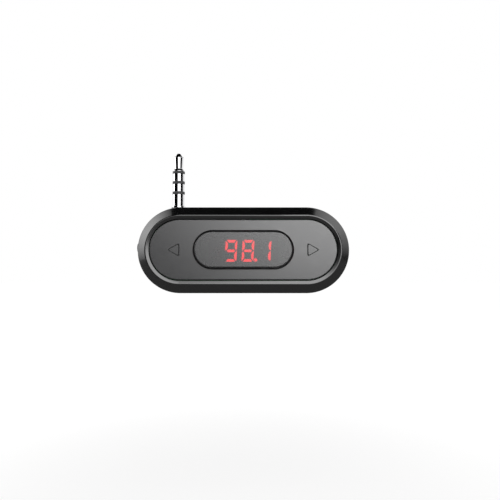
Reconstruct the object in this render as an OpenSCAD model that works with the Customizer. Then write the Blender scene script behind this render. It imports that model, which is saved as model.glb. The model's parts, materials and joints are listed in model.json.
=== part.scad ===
// Car FM transmitter with a folding plug, a rocker plate and a display key.
// Lengths are millimetres. Pieces are drawn as seen from the front: X to the right,
// Y up, and Z forward from the flat back face. upright() then stands them on the bottom.

/* [Case] */
// Width of the case from end to end
case_w = 59; // [54:0.5:75]
// Height of the case, also the diameter of its round ends
case_h = 24; // [23:0.5:30]
// Wall thickness of both shells
wall = 1.2; // [0.9:0.05:1.5]
// Depth of the chamfer behind the side wall
back_chamfer_depth = 1.7; // [1:0.1:2.5]
// Width of the chamfer round the back face
back_chamfer_width = 2; // [1:0.1:3]
// Depth of the rear shell's side wall, up to the seam
rear_side_depth = 3.8; // [3.5:0.1:6]
// Depth of the front shell's side wall, from the seam
front_side_depth = 3.8; // [3.6:0.1:6]
// Depth of the chamfer in front of the side wall
front_chamfer_depth = 2.4; // [1.8:0.1:3.2]
// Width of the chamfer round the front
front_chamfer_width = 2.5; // [1.8:0.1:3.2]
// Radius on the case's long edges
edge_r = 0.3; // [0.1:0.05:0.5]
// Size of the fine V groove where the shells meet
seam_groove = 0.12; // [0.05:0.01:0.2]
// Height of the rear shell's locating tongue
tongue_h = 0.8; // [0.5:0.1:1.2]
// Thickness of the tongue
tongue_t = 0.55; // [0.4:0.05:0.7]
// Gap between the tongue and its rebate
tongue_gap = 0.08; // [0.05:0.01:0.12]

/* [Lip round the plate] */
// Width of the lip's inner slope
lip_w = 0.95; // [0.6:0.05:1.3]
// How far the inner slope falls from the crest
lip_drop = 0.35; // [0.2:0.05:0.6]
// Radius of the lip's crest
crest_r = 0.2; // [0.1:0.05:0.3]
// Depth of the rim from the crest to its inner edge
rim_depth = 1.5; // [1.4:0.05:2]

/* [Rocker plate] */
// Thickness of the plate
plate_t = 1.6; // [1.4:0.05:1.8]
// Gap round the plate
plate_gap = 0.3; // [0.2:0.05:0.5]
// Radius on the plate's visible edges
plate_edge_r = 0.2; // [0.1:0.05:0.3]
// Radius of the plate's two pivot pins
pivot_pin_r = 0.45; // [0.35:0.05:0.5]
// Length of a pivot pin beyond the plate
pivot_pin_len = 0.9; // [0.7:0.05:1.1]
// Radial clearance of the pivot pins and of the hinge pin
pin_gap = 0.03; // [0.02:0.01:0.05]
// Radius of the feet that press the domes
foot_r = 0.9; // [0.6:0.05:1.2]
// How far the triangle and foot sit inwards of the middle of the plate's free end
mark_inset = 0.7; // [0.4:0.025:1]
// Height of a tuning triangle
mark_h = 3.35; // [2.5:0.05:4]
// Width of a tuning triangle, base to apex
mark_w = 3.1; // [2.5:0.05:4]
// Width of the engraved line
mark_line = 0.3; // [0.2:0.02:0.4]
// Depth of the engraved line
mark_depth = 0.2; // [0.1:0.02:0.3]
// Radius of the triangle's corners
mark_r = 0.45; // [0.35:0.05:0.6]

/* [Display window] */
// Width of the window key
window_w = 26.7; // [25:0.1:30]
// Height of the window key
window_h = 9.7; // [9.2:0.1:10.4]
// How far the window stands out in front of the plate
window_proud = 1.15; // [0.6:0.05:1.6]
// Thickness of the window's front wall
window_t = 1.3; // [1:0.05:1.6]
// Thickness of the window's skirt
skirt_t = 0.9; // [0.7:0.05:1]
// Gap between the window and the plate's opening
window_gap = 0.4; // [0.35:0.05:0.8]
// Radius on the window's front edge
window_edge_r = 0.25; // [0.1:0.05:0.4]
// Width of the flange that stops the window
flange_w = 0.6; // [0.4:0.05:0.7]
// Thickness of the flange
flange_t = 0.55; // [0.4:0.05:0.7]
// Travel of the window key
window_travel = 0.4; // [0.3:0.05:0.5]
// Gap between the window and what guides or stops it
guide_gap = 0.1; // [0.05:0.01:0.15]
// Wall of the window guide
guide_t = 0.6; // [0.5:0.05:0.7]
// Thickness of the guide's inward lip
guide_lip_t = 0.5; // [0.4:0.05:0.6]
// Radius of the guide's pegs in the board
peg_r = 0.35; // [0.3:0.05:0.4]

/* [Display] */
// Width of the display block
module_w = 19.2; // [18.6:0.1:19.4]
// Height of the display block
module_h = 7.2; // [7:0.05:7.3]
// Gap between the pressed window and the display block
module_gap = 0.2; // [0.1:0.05:0.3]
// Depth of the wells that hold the segments
well_depth = 0.5; // [0.3:0.05:0.8]
// Height of a digit
digit_h = 6; // [5:0.1:6.2]
// Width of a digit
digit_w = 3.25; // [3:0.05:3.4]
// Distance from digit to digit
digit_pitch = 4.675; // [4.65:0.025:5]
// Thickness of a segment
segment_t = 0.78; // [0.5:0.02:0.9]
// Gap between two segments
segment_gap = 0.12; // [0.08:0.01:0.2]
// Lean of the digits to the right, in degrees
lean = 3.4; // [0:0.2:10]
// Radius of the decimal points
dot_r = 0.5; // [0.3:0.05:0.5]
// Distance of the last digit's middle from the middle of the window
last_digit_x = 5.95; // [5:0.05:6]
// Distance of the digits' middle below the middle of the window
digit_drop = 0.27; // [0:0.01:0.3]
// Radius of a solder pin of the display
display_pin_r = 0.2; // [0.15:0.05:0.25]
// Pitch of the solder pins
display_pin_pitch = 2.54; // [2:0.02:2.6]

/* [Main board] */
// Thickness of the board
board_t = 0.8; // [0.6:0.1:1]
// Gap between the board's edge and the shells
board_gap = 1.2; // [1.1:0.05:1.6]
// Gap between the board and a fitted piece that passes it
board_clear = 0.2; // [0.1:0.05:0.3]
// Radius of a snap dome
dome_r = 1; // [0.8:0.05:1.1]
// Height of a snap dome
dome_h = 0.5; // [0.4:0.05:0.6]
// Thickness of a snap dome's metal
dome_t = 0.12; // [0.08:0.02:0.16]
// Radius of a screw post
post_r = 1.5; // [1.3:0.1:1.7]
// Distance of the screw posts from the middle line
post_y = 6.5; // [6:0.1:7]
// Radius of a screw's shank
screw_r = 0.5; // [0.4:0.05:0.6]
// Radius of a screw's head
screw_head_r = 1; // [0.9:0.05:1.2]
// Height of a screw's head
screw_head_h = 0.7; // [0.5:0.05:0.9]
// Length of a screw under its head
screw_len = 4; // [3:0.1:4.5]
// Height of the tallest part on the board's rear face
tallest_part = 1.1; // [1:0.05:1.2]

/* [Battery] */
// Length of the battery cell
battery_l = 28; // [24:0.5:29]
// Width of the battery cell
battery_w = 12; // [10:0.5:12.5]
// Distance of the cell's middle below the middle of the case
battery_drop = 2; // [1.5:0.1:2.5]
// Thickness of the foam tape under it
tape_t = 0.2; // [0.1:0.05:0.4]
// Gap between the cell and the parts on the board
battery_clear = 0.7; // [0.5:0.05:1]

/* [Plug] */
// Radius of the plug
plug_r = 1.75; // [1.75:0.05:1.75]
// Length of the plug from its tip to its shoulder
plug_len = 14.8; // [14:0.1:15.5]
// Distance from the case's left end to the plug's axis
plug_inset = 10.85; // [10.8:0.05:13]
// Length of the tip pole
tip_len = 5.25; // [4.4:0.05:5.5]
// Length of each of the two ring poles
ring_len = 2.45; // [2:0.05:2.6]
// Length of each insulating band
band_len = 0.5; // [0.4:0.05:0.6]
// Radius of the tip's neck
neck_r = 1.3; // [1:0.05:1.35]
// Radius of the tip at its widest
tip_r = 1.5; // [1.4:0.05:1.75]
// Length of the tip's domed end
tip_dome = 1.1; // [0.9:0.1:1.6]
// Thickness of each stem and tube inside the plug
stem_t = 0.17; // [0.15:0.01:0.17]
// Gap between the plug's nested tubes
stem_gap = 0.03; // [0.02:0.01:0.03]
// Length of the plug that is seated in its moulding
seat_len = 1.4; // [1:0.1:1.5]
// Radius of the moulded swivel and its collar
swivel_r = 2; // [1.95:0.05:2.1]
// Gap between the swivel and the groove's floor and end
swivel_gap = 0.3; // [0.25:0.05:0.4]
// Height of the collar above the case when the plug is up
collar_proud = 1.1; // [0.8:0.05:1.2]
// Depth of the folded collar below the top of the case
collar_sink = 0.1; // [0.05:0.05:0.3]
// Depth of the flats that the spring holds
flat_depth = 0.2; // [0.1:0.05:0.3]
// Radius of the hinge pin
hinge_pin_r = 0.6; // [0.5:0.05:0.7]
// Depth of the hinge pin in each boss
pin_seat = 1.1; // [0.8:0.05:1.2]
// Room beyond the folded tip for a fingernail
nail_gap = 1.3; // [1:0.1:2.5]
// Gap between the swivel's ends and the groove's walls
swivel_side_gap = 0.2; // [0.1:0.05:0.3]
// Wall round the groove
groove_wall = 0.8; // [0.6:0.05:1]
// Radius of a wire between the plug and the board
lead_r = 0.2; // [0.15:0.01:0.22]

/* [Power switch] */
// Radius of the switch knob
knob_r = 1.4; // [1.2:0.05:1.5]
// How far the knob stands out of the case's end
knob_proud = 0.65; // [0.1:0.05:1.2]
// Travel of the knob
switch_travel = 2.3; // [1.8:0.1:2.5]
// Height of the knob's upper stop above the middle line
knob_up = 0.7; // [0.2:0.1:1]
// Gap between the knob and its recess
knob_gap = 0.3; // [0.2:0.05:0.4]
// Depth of the recess at the case's end
recess_depth = 1; // [0.8:0.05:1.1]
// Width and depth of the step round the recess
recess_step = 0.25; // [0.15:0.05:0.3]
// Thickness of the switch's lever
lever_t = 1; // [0.8:0.1:1.2]
// Gap between the lever and its slot
lever_gap = 0.15; // [0.1:0.05:0.2]
// Length of the switch body along its travel
switch_l = 7.2; // [6.6:0.1:7.6]
// Depth of the switch body into the case
switch_d = 3.3; // [3:0.1:3.6]
// Wall of the switch body
switch_wall = 0.4; // [0.3:0.05:0.5]

/* [Charging socket] */
// Width of the socket's metal shell
usb_w = 7.5; // [7.4:0.05:7.6]
// Thickness of the metal shell's outline
usb_h = 2.5; // [2.4:0.05:2.6]
// Length of the metal shell
usb_l = 5.4; // [5:0.1:5.6]
// Thickness of the shell's metal
usb_t = 0.3; // [0.2:0.05:0.3]
// Gap between the metal shell and the opening in the case
usb_gap = 0.2; // [0.1:0.05:0.3]
// How far the mouth sits inside the case's end
usb_inset = 0.15; // [0.1:0.05:0.3]
// Width of the plastic tongue
tongue_w = 3.9; // [3.7:0.1:4]
// Thickness of the plastic tongue
tongue_d = 0.6; // [0.5:0.05:0.7]

/* [Hidden] */

$fn = 64;
// Steps of a rounded corner in a swept outline
arc_steps = 5;
// Overrun of every cut
over = 0.05;

// Case, from the back face forward
case_r = case_h / 2;
half = (case_w - case_h) / 2;
seam_z = back_chamfer_depth + rear_side_depth;
shoulder_z = seam_z + front_side_depth;
crest_z = shoulder_z + front_chamfer_depth;
rim_z = crest_z - rim_depth;
inner_r = case_r - wall;
opening_r = case_r - front_chamfer_width - lip_w;
back_slope = norm([back_chamfer_width, back_chamfer_depth]);
front_slope = norm([front_chamfer_width, front_chamfer_depth]);

// Board and what stands on it
board_back = seam_z + usb_h / 2;
board_front = board_back + board_t;
board_r = inner_r - board_gap;
dome_top = board_front + dome_h;

// Plate
plate_r = opening_r - plate_gap;
plate_back = crest_z - plate_t;
plate_end = half + plate_r;
pivot_z = plate_back + pivot_pin_r;
mark_x = (window_w / 2 + window_gap + plate_end) / 2 - mark_inset;
tilt = 1;

// Window, its skirt and its guide
window_r = window_h / 2;
window_half = (window_w - window_h) / 2;
window_front = crest_z + window_proud;
skirt_in = window_r - skirt_t;
flange_r = window_r + flange_w;
guide_in = flange_r + guide_gap;
guide_out = guide_in + guide_t;
tilt_room = (window_half + guide_out) * sin(tilt) + 2 * guide_gap;
guide_top = plate_back - tilt_room;
flange_front = guide_top - guide_lip_t - guide_gap / 2;
flange_back = flange_front - flange_t;
leg_x = window_half + (skirt_in + window_r) / 2;

// Display block
module_front = window_front - window_t - window_travel - module_gap;
digit_x = [last_digit_x - 2 * digit_pitch, last_digit_x - digit_pitch, last_digit_x];
half_digit_x = last_digit_x - 3 * digit_pitch;
pin_row_y = module_h / 2 - 3 * display_pin_r;
pins_in_row = 6;

// Plug and its groove
pivot_x = -case_w / 2 + plug_inset;
pivot_y = case_r - swivel_r - collar_sink;
shoulder_s = case_r + collar_proud - pivot_y;
tip_s = shoulder_s + plug_len;
base_s = shoulder_s - seat_len;
sleeve_seat_r = plug_r - stem_t - stem_gap;
groove_half = swivel_r + swivel_side_gap;
groove_floor = pivot_y - swivel_r - swivel_gap;
groove_x0 = pivot_x - swivel_r - swivel_gap;
groove_x1 = pivot_x + tip_s + nail_gap;
trough_y = groove_floor - groove_wall;
lead_z = seam_z - 2 * swivel_r / 3;
lead_pitch = 3 * lead_r;
lead_bend = 4 * lead_r;

// Switch
knob_y = knob_up;
recess_y = knob_up - switch_travel / 2;
recess_r = knob_r + knob_gap;
recess_x = -case_w / 2 + recess_depth;
pad_x = recess_x + wall;
switch_x = pad_x + lever_gap;

// Charging socket
usb_mouth = half + sqrt(case_r * case_r - usb_w * usb_w / 4) - usb_inset;

// Screw posts, outside the battery's ends
post_x = battery_l / 2 + post_r + 2 * usb_inset + board_gap;
post_places = [[-post_x, -post_y], [post_x, -post_y], [post_x, post_y]];

// Snap hooks of the shells
hook_share = 0.7;
hook_w = 3;
hook_t = tongue_h;
hook_catch = wall / 3;
hook_places = [[-hook_share * half, -1], [hook_share * half, -1], [hook_share * half, 1]];

battery_back = wall + tape_t;
battery_t = board_back - tallest_part - battery_clear - battery_back;

// Outlines

function unit(v) = v / norm(v);

function turn(a) = a > 180 ? a - 360 : a < -180 ? a + 360 : a;

// Points of an arc of radius r that rounds the corner b between a and c
function corner(a, b, c, r) =
    r == 0 ? [b] :
    let (
        u = unit(a - b),
        v = unit(c - b),
        half_angle = acos(u * v) / 2,
        middle = b + unit(u + v) * r / sin(half_angle),
        p = b + u * r / tan(half_angle) - middle,
        q = b + v * r / tan(half_angle) - middle,
        start = atan2(p[1], p[0]),
        sweep = turn(atan2(q[1], q[0]) - start)
    )
    [for (i = [0 : arc_steps])
        middle + r * [cos(start + sweep * i / arc_steps), sin(start + sweep * i / arc_steps)]];

// A closed outline, each point given as [across, up, corner radius]
function rounded(points) =
    let (n = len(points), at = [for (p = points) [p[0], p[1]]])
    [for (i = [0 : n - 1])
        each corner(at[(i + n - 1) % n], at[i], at[(i + 1) % n], points[i][2])];

// Radius of the case's front slope at depth z, for a surface d inside it
function slope_r(d, z) =
    case_r - d - (z - shoulder_z + d * (front_slope - front_chamfer_depth) / front_chamfer_width)
    * front_chamfer_width / front_chamfer_depth;

// The two corners of the rear chamfer, for a surface d inside it
function back_corners(d) = [
    [case_r - back_chamfer_width
        - d * (back_slope - back_chamfer_width) / back_chamfer_depth, d],
    [case_r - d,
        back_chamfer_depth + d * (back_slope - back_chamfer_depth) / back_chamfer_width]
];

function shoulder_corner(d) = [
    case_r - d,
    shoulder_z - d * (front_slope - front_chamfer_depth) / front_chamfer_width
];

// General shapes

module upright() {
    rotate([90, 0, 0]) children();
}

// Sweeps a profile, drawn as radius and depth, round a racetrack
module racetrack(half_length) {
    for (side = [-1, 1])
        translate([side * half_length, 0, 0])
            rotate([0, 0, -90 * side]) rotate_extrude(angle = 180) children();
    for (side = [0, 1])
        mirror([0, side, 0]) translate([-half_length, 0, 0])
            rotate([90, 0, 90]) linear_extrude(2 * half_length) children();
}

// A racetrack slab from depth z0 to z1
module track_slab(r, half_length, z0, z1) {
    for (side = [-1, 1])
        translate([side * half_length, 0, z0]) cylinder(r = r, h = z1 - z0);
    translate([-half_length, -r, z0]) cube([2 * half_length, 2 * r, z1 - z0]);
}

// A box between two corners
module block(low, high) {
    translate(low) cube(high - low);
}

// A box with rounded corners in the plane of the board
module slab(size, r) {
    block([r, 0, 0], [size[0] - r, size[1], size[2]]);
    block([0, r, 0], [size[0], size[1] - r, size[2]]);
    for (x = [r, size[0] - r], y = [r, size[1] - r])
        translate([x, y, 0]) cylinder(r = r, h = size[2]);
}

module centred_slab(size, r) {
    translate([-size[0] / 2, -size[1] / 2, 0]) slab(size, r);
}

// Turns a profile of radius and height round the plug's axis, heights from the pivot
module on_plug_axis() {
    translate([pivot_x, pivot_y, seam_z]) rotate([-90, 0, 0]) children();
}

module on_pivot() {
    translate([pivot_x, pivot_y, seam_z]) children();
}

// A tube with its axis along the plug
module tube(r_out, r_in, from, to) {
    rotate_extrude()
        polygon([[r_in, from], [r_out, from], [r_out, to], [r_in, to]]);
}

// Case

// Everything inside the middle of the shells' walls
module case_core() {
    d = wall / 2;
    racetrack(half)
        polygon(concat(
            [[0, d]],
            back_corners(d),
            [shoulder_corner(d), [slope_r(d, rim_z), rim_z], [0, rim_z]]
        ));
}

// The groove's walls, or what clears them when grown
module trough(grow) {
    block(
        [groove_x0 - groove_wall - grow, trough_y - grow, seam_z - groove_half - groove_wall],
        [groove_x1 + groove_wall + grow, case_r, seam_z + groove_half + groove_wall]
    );
}

// The thick wall behind the switch's recess, or what clears it when grown
module switch_pad(grow) {
    block(
        [-case_w / 2, recess_y - switch_travel / 2 - recess_r - wall - grow,
            seam_z - recess_r - wall],
        [pad_x + grow, recess_y + switch_travel / 2 + recess_r + wall + grow,
            seam_z + recess_r + wall]
    );
}

module pin_boss() {
    on_pivot()
        translate([0, 0, -groove_half - pin_seat - wall / 2])
            cylinder(r = hinge_pin_r + wall, h = 2 * (groove_half + pin_seat + wall / 2));
}

module groove_cut() {
    block(
        [groove_x0, groove_floor, seam_z - groove_half],
        [groove_x1, case_r + over, seam_z + groove_half]
    );
    on_pivot()
        translate([0, 0, -groove_half - pin_seat])
            cylinder(r = hinge_pin_r + pin_gap / 2, h = 2 * (groove_half + pin_seat));
    lead_slot();
}

module lead_slot() {
    for (side = [-1, 1])
        translate([pivot_x + side * 2 * lead_pitch, trough_y - over, lead_z])
            rotate([-90, 0, 0]) cylinder(r = 2 * lead_r, h = groove_wall + 2 * over);
    block(
        [pivot_x - 2 * lead_pitch, trough_y - over, lead_z - 2 * lead_r],
        [pivot_x + 2 * lead_pitch, groove_floor + over, lead_z + 2 * lead_r]
    );
}

// A racetrack cut along X whose long way runs along Y
module end_track(r, travel, x0, x1, y) {
    for (side = [-1, 1])
        translate([x0, y + side * travel / 2, seam_z])
            rotate([0, 90, 0]) cylinder(r = r, h = x1 - x0);
    block([x0, y - travel / 2, seam_z - r], [x1, y + travel / 2, seam_z + r]);
}

module switch_cut() {
    end_track(recess_r, switch_travel, -case_w / 2 - over, recess_x, recess_y);
    end_track(recess_r + recess_step, switch_travel, -case_w / 2 - over,
        -case_w / 2 + 2 * recess_step, recess_y);
    block(
        [recess_x - over, recess_y - (switch_travel + lever_t) / 2 - lever_gap,
            seam_z - lever_t / 2 - lever_gap],
        [pad_x + over, recess_y + (switch_travel + lever_t) / 2 + lever_gap,
            seam_z + lever_t / 2 + lever_gap]
    );
}

// The outline of the charging socket in the plane of the case's end, grown by g
module usb_outline(g) {
    w = usb_w / 2 + g;
    h = usb_h / 2 + g;
    cut = usb_h / 3;
    polygon([[-w, h], [w, h], [w, cut - h], [w - cut, -h], [cut - w, -h], [-w, cut - h]]);
}

module usb_cut() {
    translate([half, 0, seam_z]) rotate([90, 0, 90])
        linear_extrude(case_r + over) usb_outline(usb_gap);
}

module post(place) {
    translate([place[0], place[1], wall / 2])
        cylinder(r = post_r, h = board_back - wall / 2);
}

module post_bore(place) {
    translate([place[0], place[1], board_front - screw_len - board_gap / 2])
        cylinder(r = screw_r + pin_gap, h = screw_len);
}

// A hook of the rear shell that catches in the front shell
module hook(place) {
    mirror([0, place[1] < 0 ? 1 : 0, 0]) translate([place[0], 0, 0]) {
        block([-hook_w / 2, inner_r - hook_t, seam_z - 2 * tongue_h],
            [hook_w / 2, inner_r + wall / 4, seam_z + tongue_h / 2]);
        block([-hook_w / 2, inner_r - hook_t, seam_z],
            [hook_w / 2, inner_r - guide_gap, hook_top()]);
        translate([-hook_w / 2, inner_r - hook_t / 2, hook_top()])
            rotate([90, 0, 90]) linear_extrude(hook_w)
                polygon([[0, 0], [hook_t / 2 - guide_gap, 0],
                    [hook_t / 2 + hook_catch - guide_gap, -hook_t / 2],
                    [hook_t / 2 + hook_catch - guide_gap, -hook_t],
                    [0, -hook_t]]);
    }
}

function hook_top() = seam_z + 3 * tongue_h;

module hook_pocket(place) {
    mirror([0, place[1] < 0 ? 1 : 0, 0])
        block([place[0] - hook_w / 2 - guide_gap, inner_r - over,
            hook_top() - hook_t - guide_gap],
            [place[0] + hook_w / 2 + guide_gap, inner_r + hook_catch, hook_top() + guide_gap]);
}

module rear_shell() color([0.045, 0.045, 0.05]) {
    difference() {
        union() {
            racetrack(half)
                polygon(rounded([
                    [0, 0, 0],
                    [case_r - back_chamfer_width, 0, edge_r],
                    [case_r, back_chamfer_depth, edge_r],
                    [case_r, seam_z - seam_groove, 0],
                    [case_r - seam_groove, seam_z, 0],
                    [inner_r + tongue_t, seam_z, 0],
                    [inner_r + tongue_t, seam_z + tongue_h, 0],
                    [inner_r, seam_z + tongue_h, 0],
                    [back_corners(wall)[1][0], back_corners(wall)[1][1], 0],
                    [back_corners(wall)[0][0], back_corners(wall)[0][1], 0],
                    [0, wall, 0]
                ]));
            intersection() {
                case_core();
                union() {
                    difference() {
                        union() {
                            trough(0);
                            switch_pad(0);
                            pin_boss();
                        }
                        block([-case_w, -case_h, seam_z], [case_w, case_h, crest_z]);
                    }
                    for (p = post_places) post(p);
                }
            }
            for (p = hook_places) hook(p);
        }
        intersection() {
            block([-case_w, -case_h, seam_z], [case_w, case_h, seam_z + tongue_h + over]);
            union() {
                trough(tongue_gap);
                switch_pad(tongue_gap);
            }
        }
        groove_cut();
        switch_cut();
        usb_cut();
        for (p = post_places) post_bore(p);
    }
}

module pivot_boss(side) {
    wide = pivot_pin_r + 2 * crest_r;
    translate([0, side > 0 ? 0 : -case_r, 0])
        block([-wide, side > 0 ? opening_r : 0, pivot_z - wide],
            [wide, side > 0 ? case_r : case_r - opening_r, rim_z]);
}

module pivot_socket(side) {
    translate([0, 0, pivot_z]) rotate([-90 * side, 0, 0])
        translate([0, 0, opening_r - over])
            cylinder(r = pivot_pin_r + pin_gap,
                h = pivot_pin_len - plate_gap + board_clear + over);
}

module front_shell() color([0.03, 0.03, 0.035]) {
    difference() {
        union() {
            racetrack(half)
                polygon(rounded([
                    [case_r - seam_groove, seam_z, 0],
                    [case_r, seam_z + seam_groove, 0],
                    [case_r, shoulder_z, edge_r],
                    [case_r - front_chamfer_width, crest_z, crest_r],
                    [opening_r, crest_z - lip_drop, 0],
                    [opening_r, rim_z, 0],
                    [slope_r(wall, rim_z), rim_z, 0],
                    [shoulder_corner(wall)[0], shoulder_corner(wall)[1], 0],
                    [inner_r, seam_z + tongue_h + tongue_gap, 0],
                    [inner_r + tongue_t + tongue_gap, seam_z + tongue_h + tongue_gap, 0],
                    [inner_r + tongue_t + tongue_gap, seam_z, 0]
                ]));
            intersection() {
                case_core();
                difference() {
                    union() {
                        trough(0);
                        switch_pad(0);
                        pin_boss();
                        for (side = [-1, 1]) pivot_boss(side);
                    }
                    block([-case_w, -case_h, 0], [case_w, case_h, seam_z]);
                }
            }
        }
        groove_cut();
        switch_cut();
        usb_cut();
        for (side = [-1, 1]) pivot_socket(side);
        for (p = hook_places) hook_pocket(p);
    }
}

// Rocker plate

// A tuning triangle that points along X, with rounded corners, inset by d
module triangle(d) {
    r = mark_r - d;
    hull() {
        translate([mark_w / 2 - mark_r, 0]) circle(r, $fn = 24);
        for (side = [-1, 1])
            translate([mark_r - mark_w / 2, side * (mark_h / 2 - mark_r)]) circle(r, $fn = 24);
    }
}

module mark_cut() {
    difference() {
        linear_extrude(mark_depth + over) triangle(0);
        translate([0, 0, -over]) linear_extrude(mark_depth + 3 * over) triangle(mark_line);
    }
}

module rocker_plate() color([0.2, 0.2, 0.21]) {
    difference() {
        union() {
            racetrack(half)
                polygon(rounded([
                    [0, plate_back, 0],
                    [plate_r, plate_back, 0],
                    [plate_r, crest_z, plate_edge_r],
                    [0, crest_z, 0]
                ]));
            translate([0, 0, pivot_z]) rotate([90, 0, 0])
                cylinder(r = pivot_pin_r, h = 2 * (plate_r + pivot_pin_len), center = true);
            for (side = [-1, 1])
                translate([side * mark_x, 0, dome_top])
                    cylinder(r = foot_r, h = crest_z - plate_t / 2 - dome_top);
        }
        racetrack(window_half)
            polygon([
                [0, plate_back - over],
                [window_r + window_gap, plate_back - over],
                [window_r + window_gap, crest_z - plate_edge_r],
                [window_r + window_gap + plate_edge_r, crest_z],
                [window_r + window_gap + plate_edge_r, crest_z + over],
                [0, crest_z + over]
            ]);
        for (side = [0, 1])
            mirror([side, 0, 0]) translate([mark_x, 0, crest_z - mark_depth]) mark_cut();
    }
}

// Display window and its guide

module display_window() color([0.15, 0.15, 0.16, 0.8]) {
    racetrack(window_half)
        polygon(rounded([
            [0, window_front - window_t, 0],
            [skirt_in, window_front - window_t, 0],
            [skirt_in, flange_back, 0],
            [flange_r, flange_back, 0],
            [flange_r, flange_front, 0],
            [window_r, flange_front, 0],
            [window_r, window_front, window_edge_r],
            [0, window_front, 0]
        ]));
    for (side = [-1, 1])
        translate([side * leg_x, 0, dome_top])
            cylinder(r = skirt_t / 2, h = flange_back + flange_t / 2 - dome_top);
}

module window_guide() color([0.08, 0.08, 0.08]) {
    racetrack(window_half)
        polygon([
            [guide_in, board_front],
            [guide_out, board_front],
            [guide_out, guide_top],
            [window_r + guide_gap, guide_top],
            [window_r + guide_gap, guide_top - guide_lip_t],
            [guide_in, guide_top - guide_lip_t]
        ]);
    for (x = [-1, 1], y = [-1, 1])
        translate([x * window_half, y * (guide_in + guide_out) / 2, board_back])
            cylinder(r = peg_r, h = board_t + guide_t);
}

// A thin metal dome standing on the board
module dome() {
    ball = (dome_r * dome_r + dome_h * dome_h) / (2 * dome_h);
    translate([0, 0, board_front]) intersection() {
        cylinder(r = dome_r, h = dome_h);
        translate([0, 0, dome_h - ball]) difference() {
            sphere(r = ball);
            sphere(r = ball - dome_t);
        }
    }
}

module window_domes() color("silver") {
    for (side = [-1, 1]) translate([side * leg_x, 0, 0]) dome();
}

module rocker_domes() color("silver") {
    for (side = [-1, 1]) translate([side * mark_x, 0, 0]) dome();
}

// Display block

function leaned(p) = [p[0] + p[1] * tan(lean), p[1]];

// Outline of one of the seven segments, named a to g as on any such display
function segment(name) =
    let (
        w = digit_w / 2,
        h = digit_h / 2,
        t = segment_t,
        g = segment_gap,
        flat = [[g + t / 3 - w, h], [w - g - t / 3, h], [w - t - g, h - t], [t + g - w, h - t]],
        side = [[w, g], [w, h - g - t / 3], [w - t, h - t - g], [w - t, g + t / 2], [w - t / 2, g]],
        middle = [[g + t / 2 - w, 0], [g + t - w, t / 2], [w - t - g, t / 2],
            [w - g - t / 2, 0], [w - t - g, -t / 2], [g + t - w, -t / 2]]
    )
    name == "a" ? flat :
    name == "d" ? [for (p = flat) [p[0], -p[1]]] :
    name == "b" ? side :
    name == "c" ? [for (p = side) [p[0], -p[1]]] :
    name == "f" ? [for (p = side) [-p[0], p[1]]] :
    name == "e" ? [for (p = side) [-p[0], -p[1]]] :
    middle;

module segments(x, names, depth) {
    for (name = names)
        translate([x, -digit_drop, module_front - well_depth]) linear_extrude(depth)
            polygon([for (p = segment(name)) leaned(p)]);
}

module dot(x, r, depth) {
    foot = leaned([digit_w / 2, dot_r - digit_h / 2]);
    translate([x + foot[0] + dot_r + segment_gap, foot[1] - digit_drop, module_front - well_depth])
        cylinder(r = r, h = depth);
}

module segments_lit() color([1, 0.25, 0.25]) {
    segments(digit_x[0], "abcdfg", well_depth);
    segments(digit_x[1], "abcdefg", well_depth);
    segments(digit_x[2], "bc", well_depth);
    dot(digit_x[1], dot_r - stem_gap, well_depth);
}

module segments_dark() color([0.25, 0.08, 0.08]) {
    segments(half_digit_x, "bc", well_depth);
    segments(digit_x[0], "e", well_depth);
    segments(digit_x[2], "adefg", well_depth);
    dot(digit_x[0], dot_r - stem_gap, well_depth);
}

module display_module() color([0.1, 0.1, 0.1]) {
    difference() {
        block([-module_w / 2, -module_h / 2, board_front], [module_w / 2, module_h / 2, module_front]);
        segments(half_digit_x, "bc", well_depth + over);
        for (x = digit_x) segments(x, "abcdefg", well_depth + over);
        for (x = [digit_x[0], digit_x[1]]) dot(x, dot_r, well_depth + over);
    }
}

module display_pin_places() {
    for (i = [0 : pins_in_row - 1], side = [-1, 1])
        translate([(i - (pins_in_row - 1) / 2) * display_pin_pitch, side * pin_row_y, 0]) children();
}

module display_pins() color("silver") {
    display_pin_places() translate([0, 0, board_back - board_t / 2])
        cylinder(r = display_pin_r, h = board_front - board_back + board_t / 2, $fn = 24);
}

// Main board and what it carries

module main_board() color([0.05, 0.3, 0.15]) {
    difference() {
        track_slab(board_r, half, board_back, board_front);
        block([groove_x0 - groove_wall - board_clear, trough_y - board_clear, 0],
            [groove_x1 + groove_wall + board_clear, case_r, crest_z]);
        for (p = post_places)
            translate([p[0], p[1], 0]) cylinder(r = screw_r + board_clear, h = crest_z);
        for (x = [-1, 1], y = [-1, 1])
            translate([x * window_half, y * (guide_in + guide_out) / 2, 0])
                cylinder(r = peg_r + pin_gap, h = crest_z);
        display_pin_places() cylinder(r = display_pin_r + pin_gap, h = crest_z, $fn = 24);
    }
}

module board_screws() color("silver") {
    for (p = post_places) translate([p[0], p[1], board_front]) {
        difference() {
            cylinder(r = screw_head_r, h = screw_head_h);
            for (a = [0, 90]) rotate([0, 0, a])
                block([-screw_head_r * 2 / 3, -screw_r / 4, screw_head_h / 2],
                    [screw_head_r * 2 / 3, screw_r / 4, screw_head_h + over]);
        }
        translate([0, 0, -screw_len]) cylinder(r = screw_r, h = screw_len);
    }
}

module battery_cell() color([0.75, 0.77, 0.8]) {
    translate([0, -battery_drop, battery_back])
        centred_slab([battery_l, battery_w, battery_t], tallest_part);
}

module battery_tape() color([0.9, 0.9, 0.85]) {
    translate([0, -battery_drop, wall])
        centred_slab([battery_l * 3 / 4, battery_w * 3 / 4, tape_t], tape_t);
}

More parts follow.
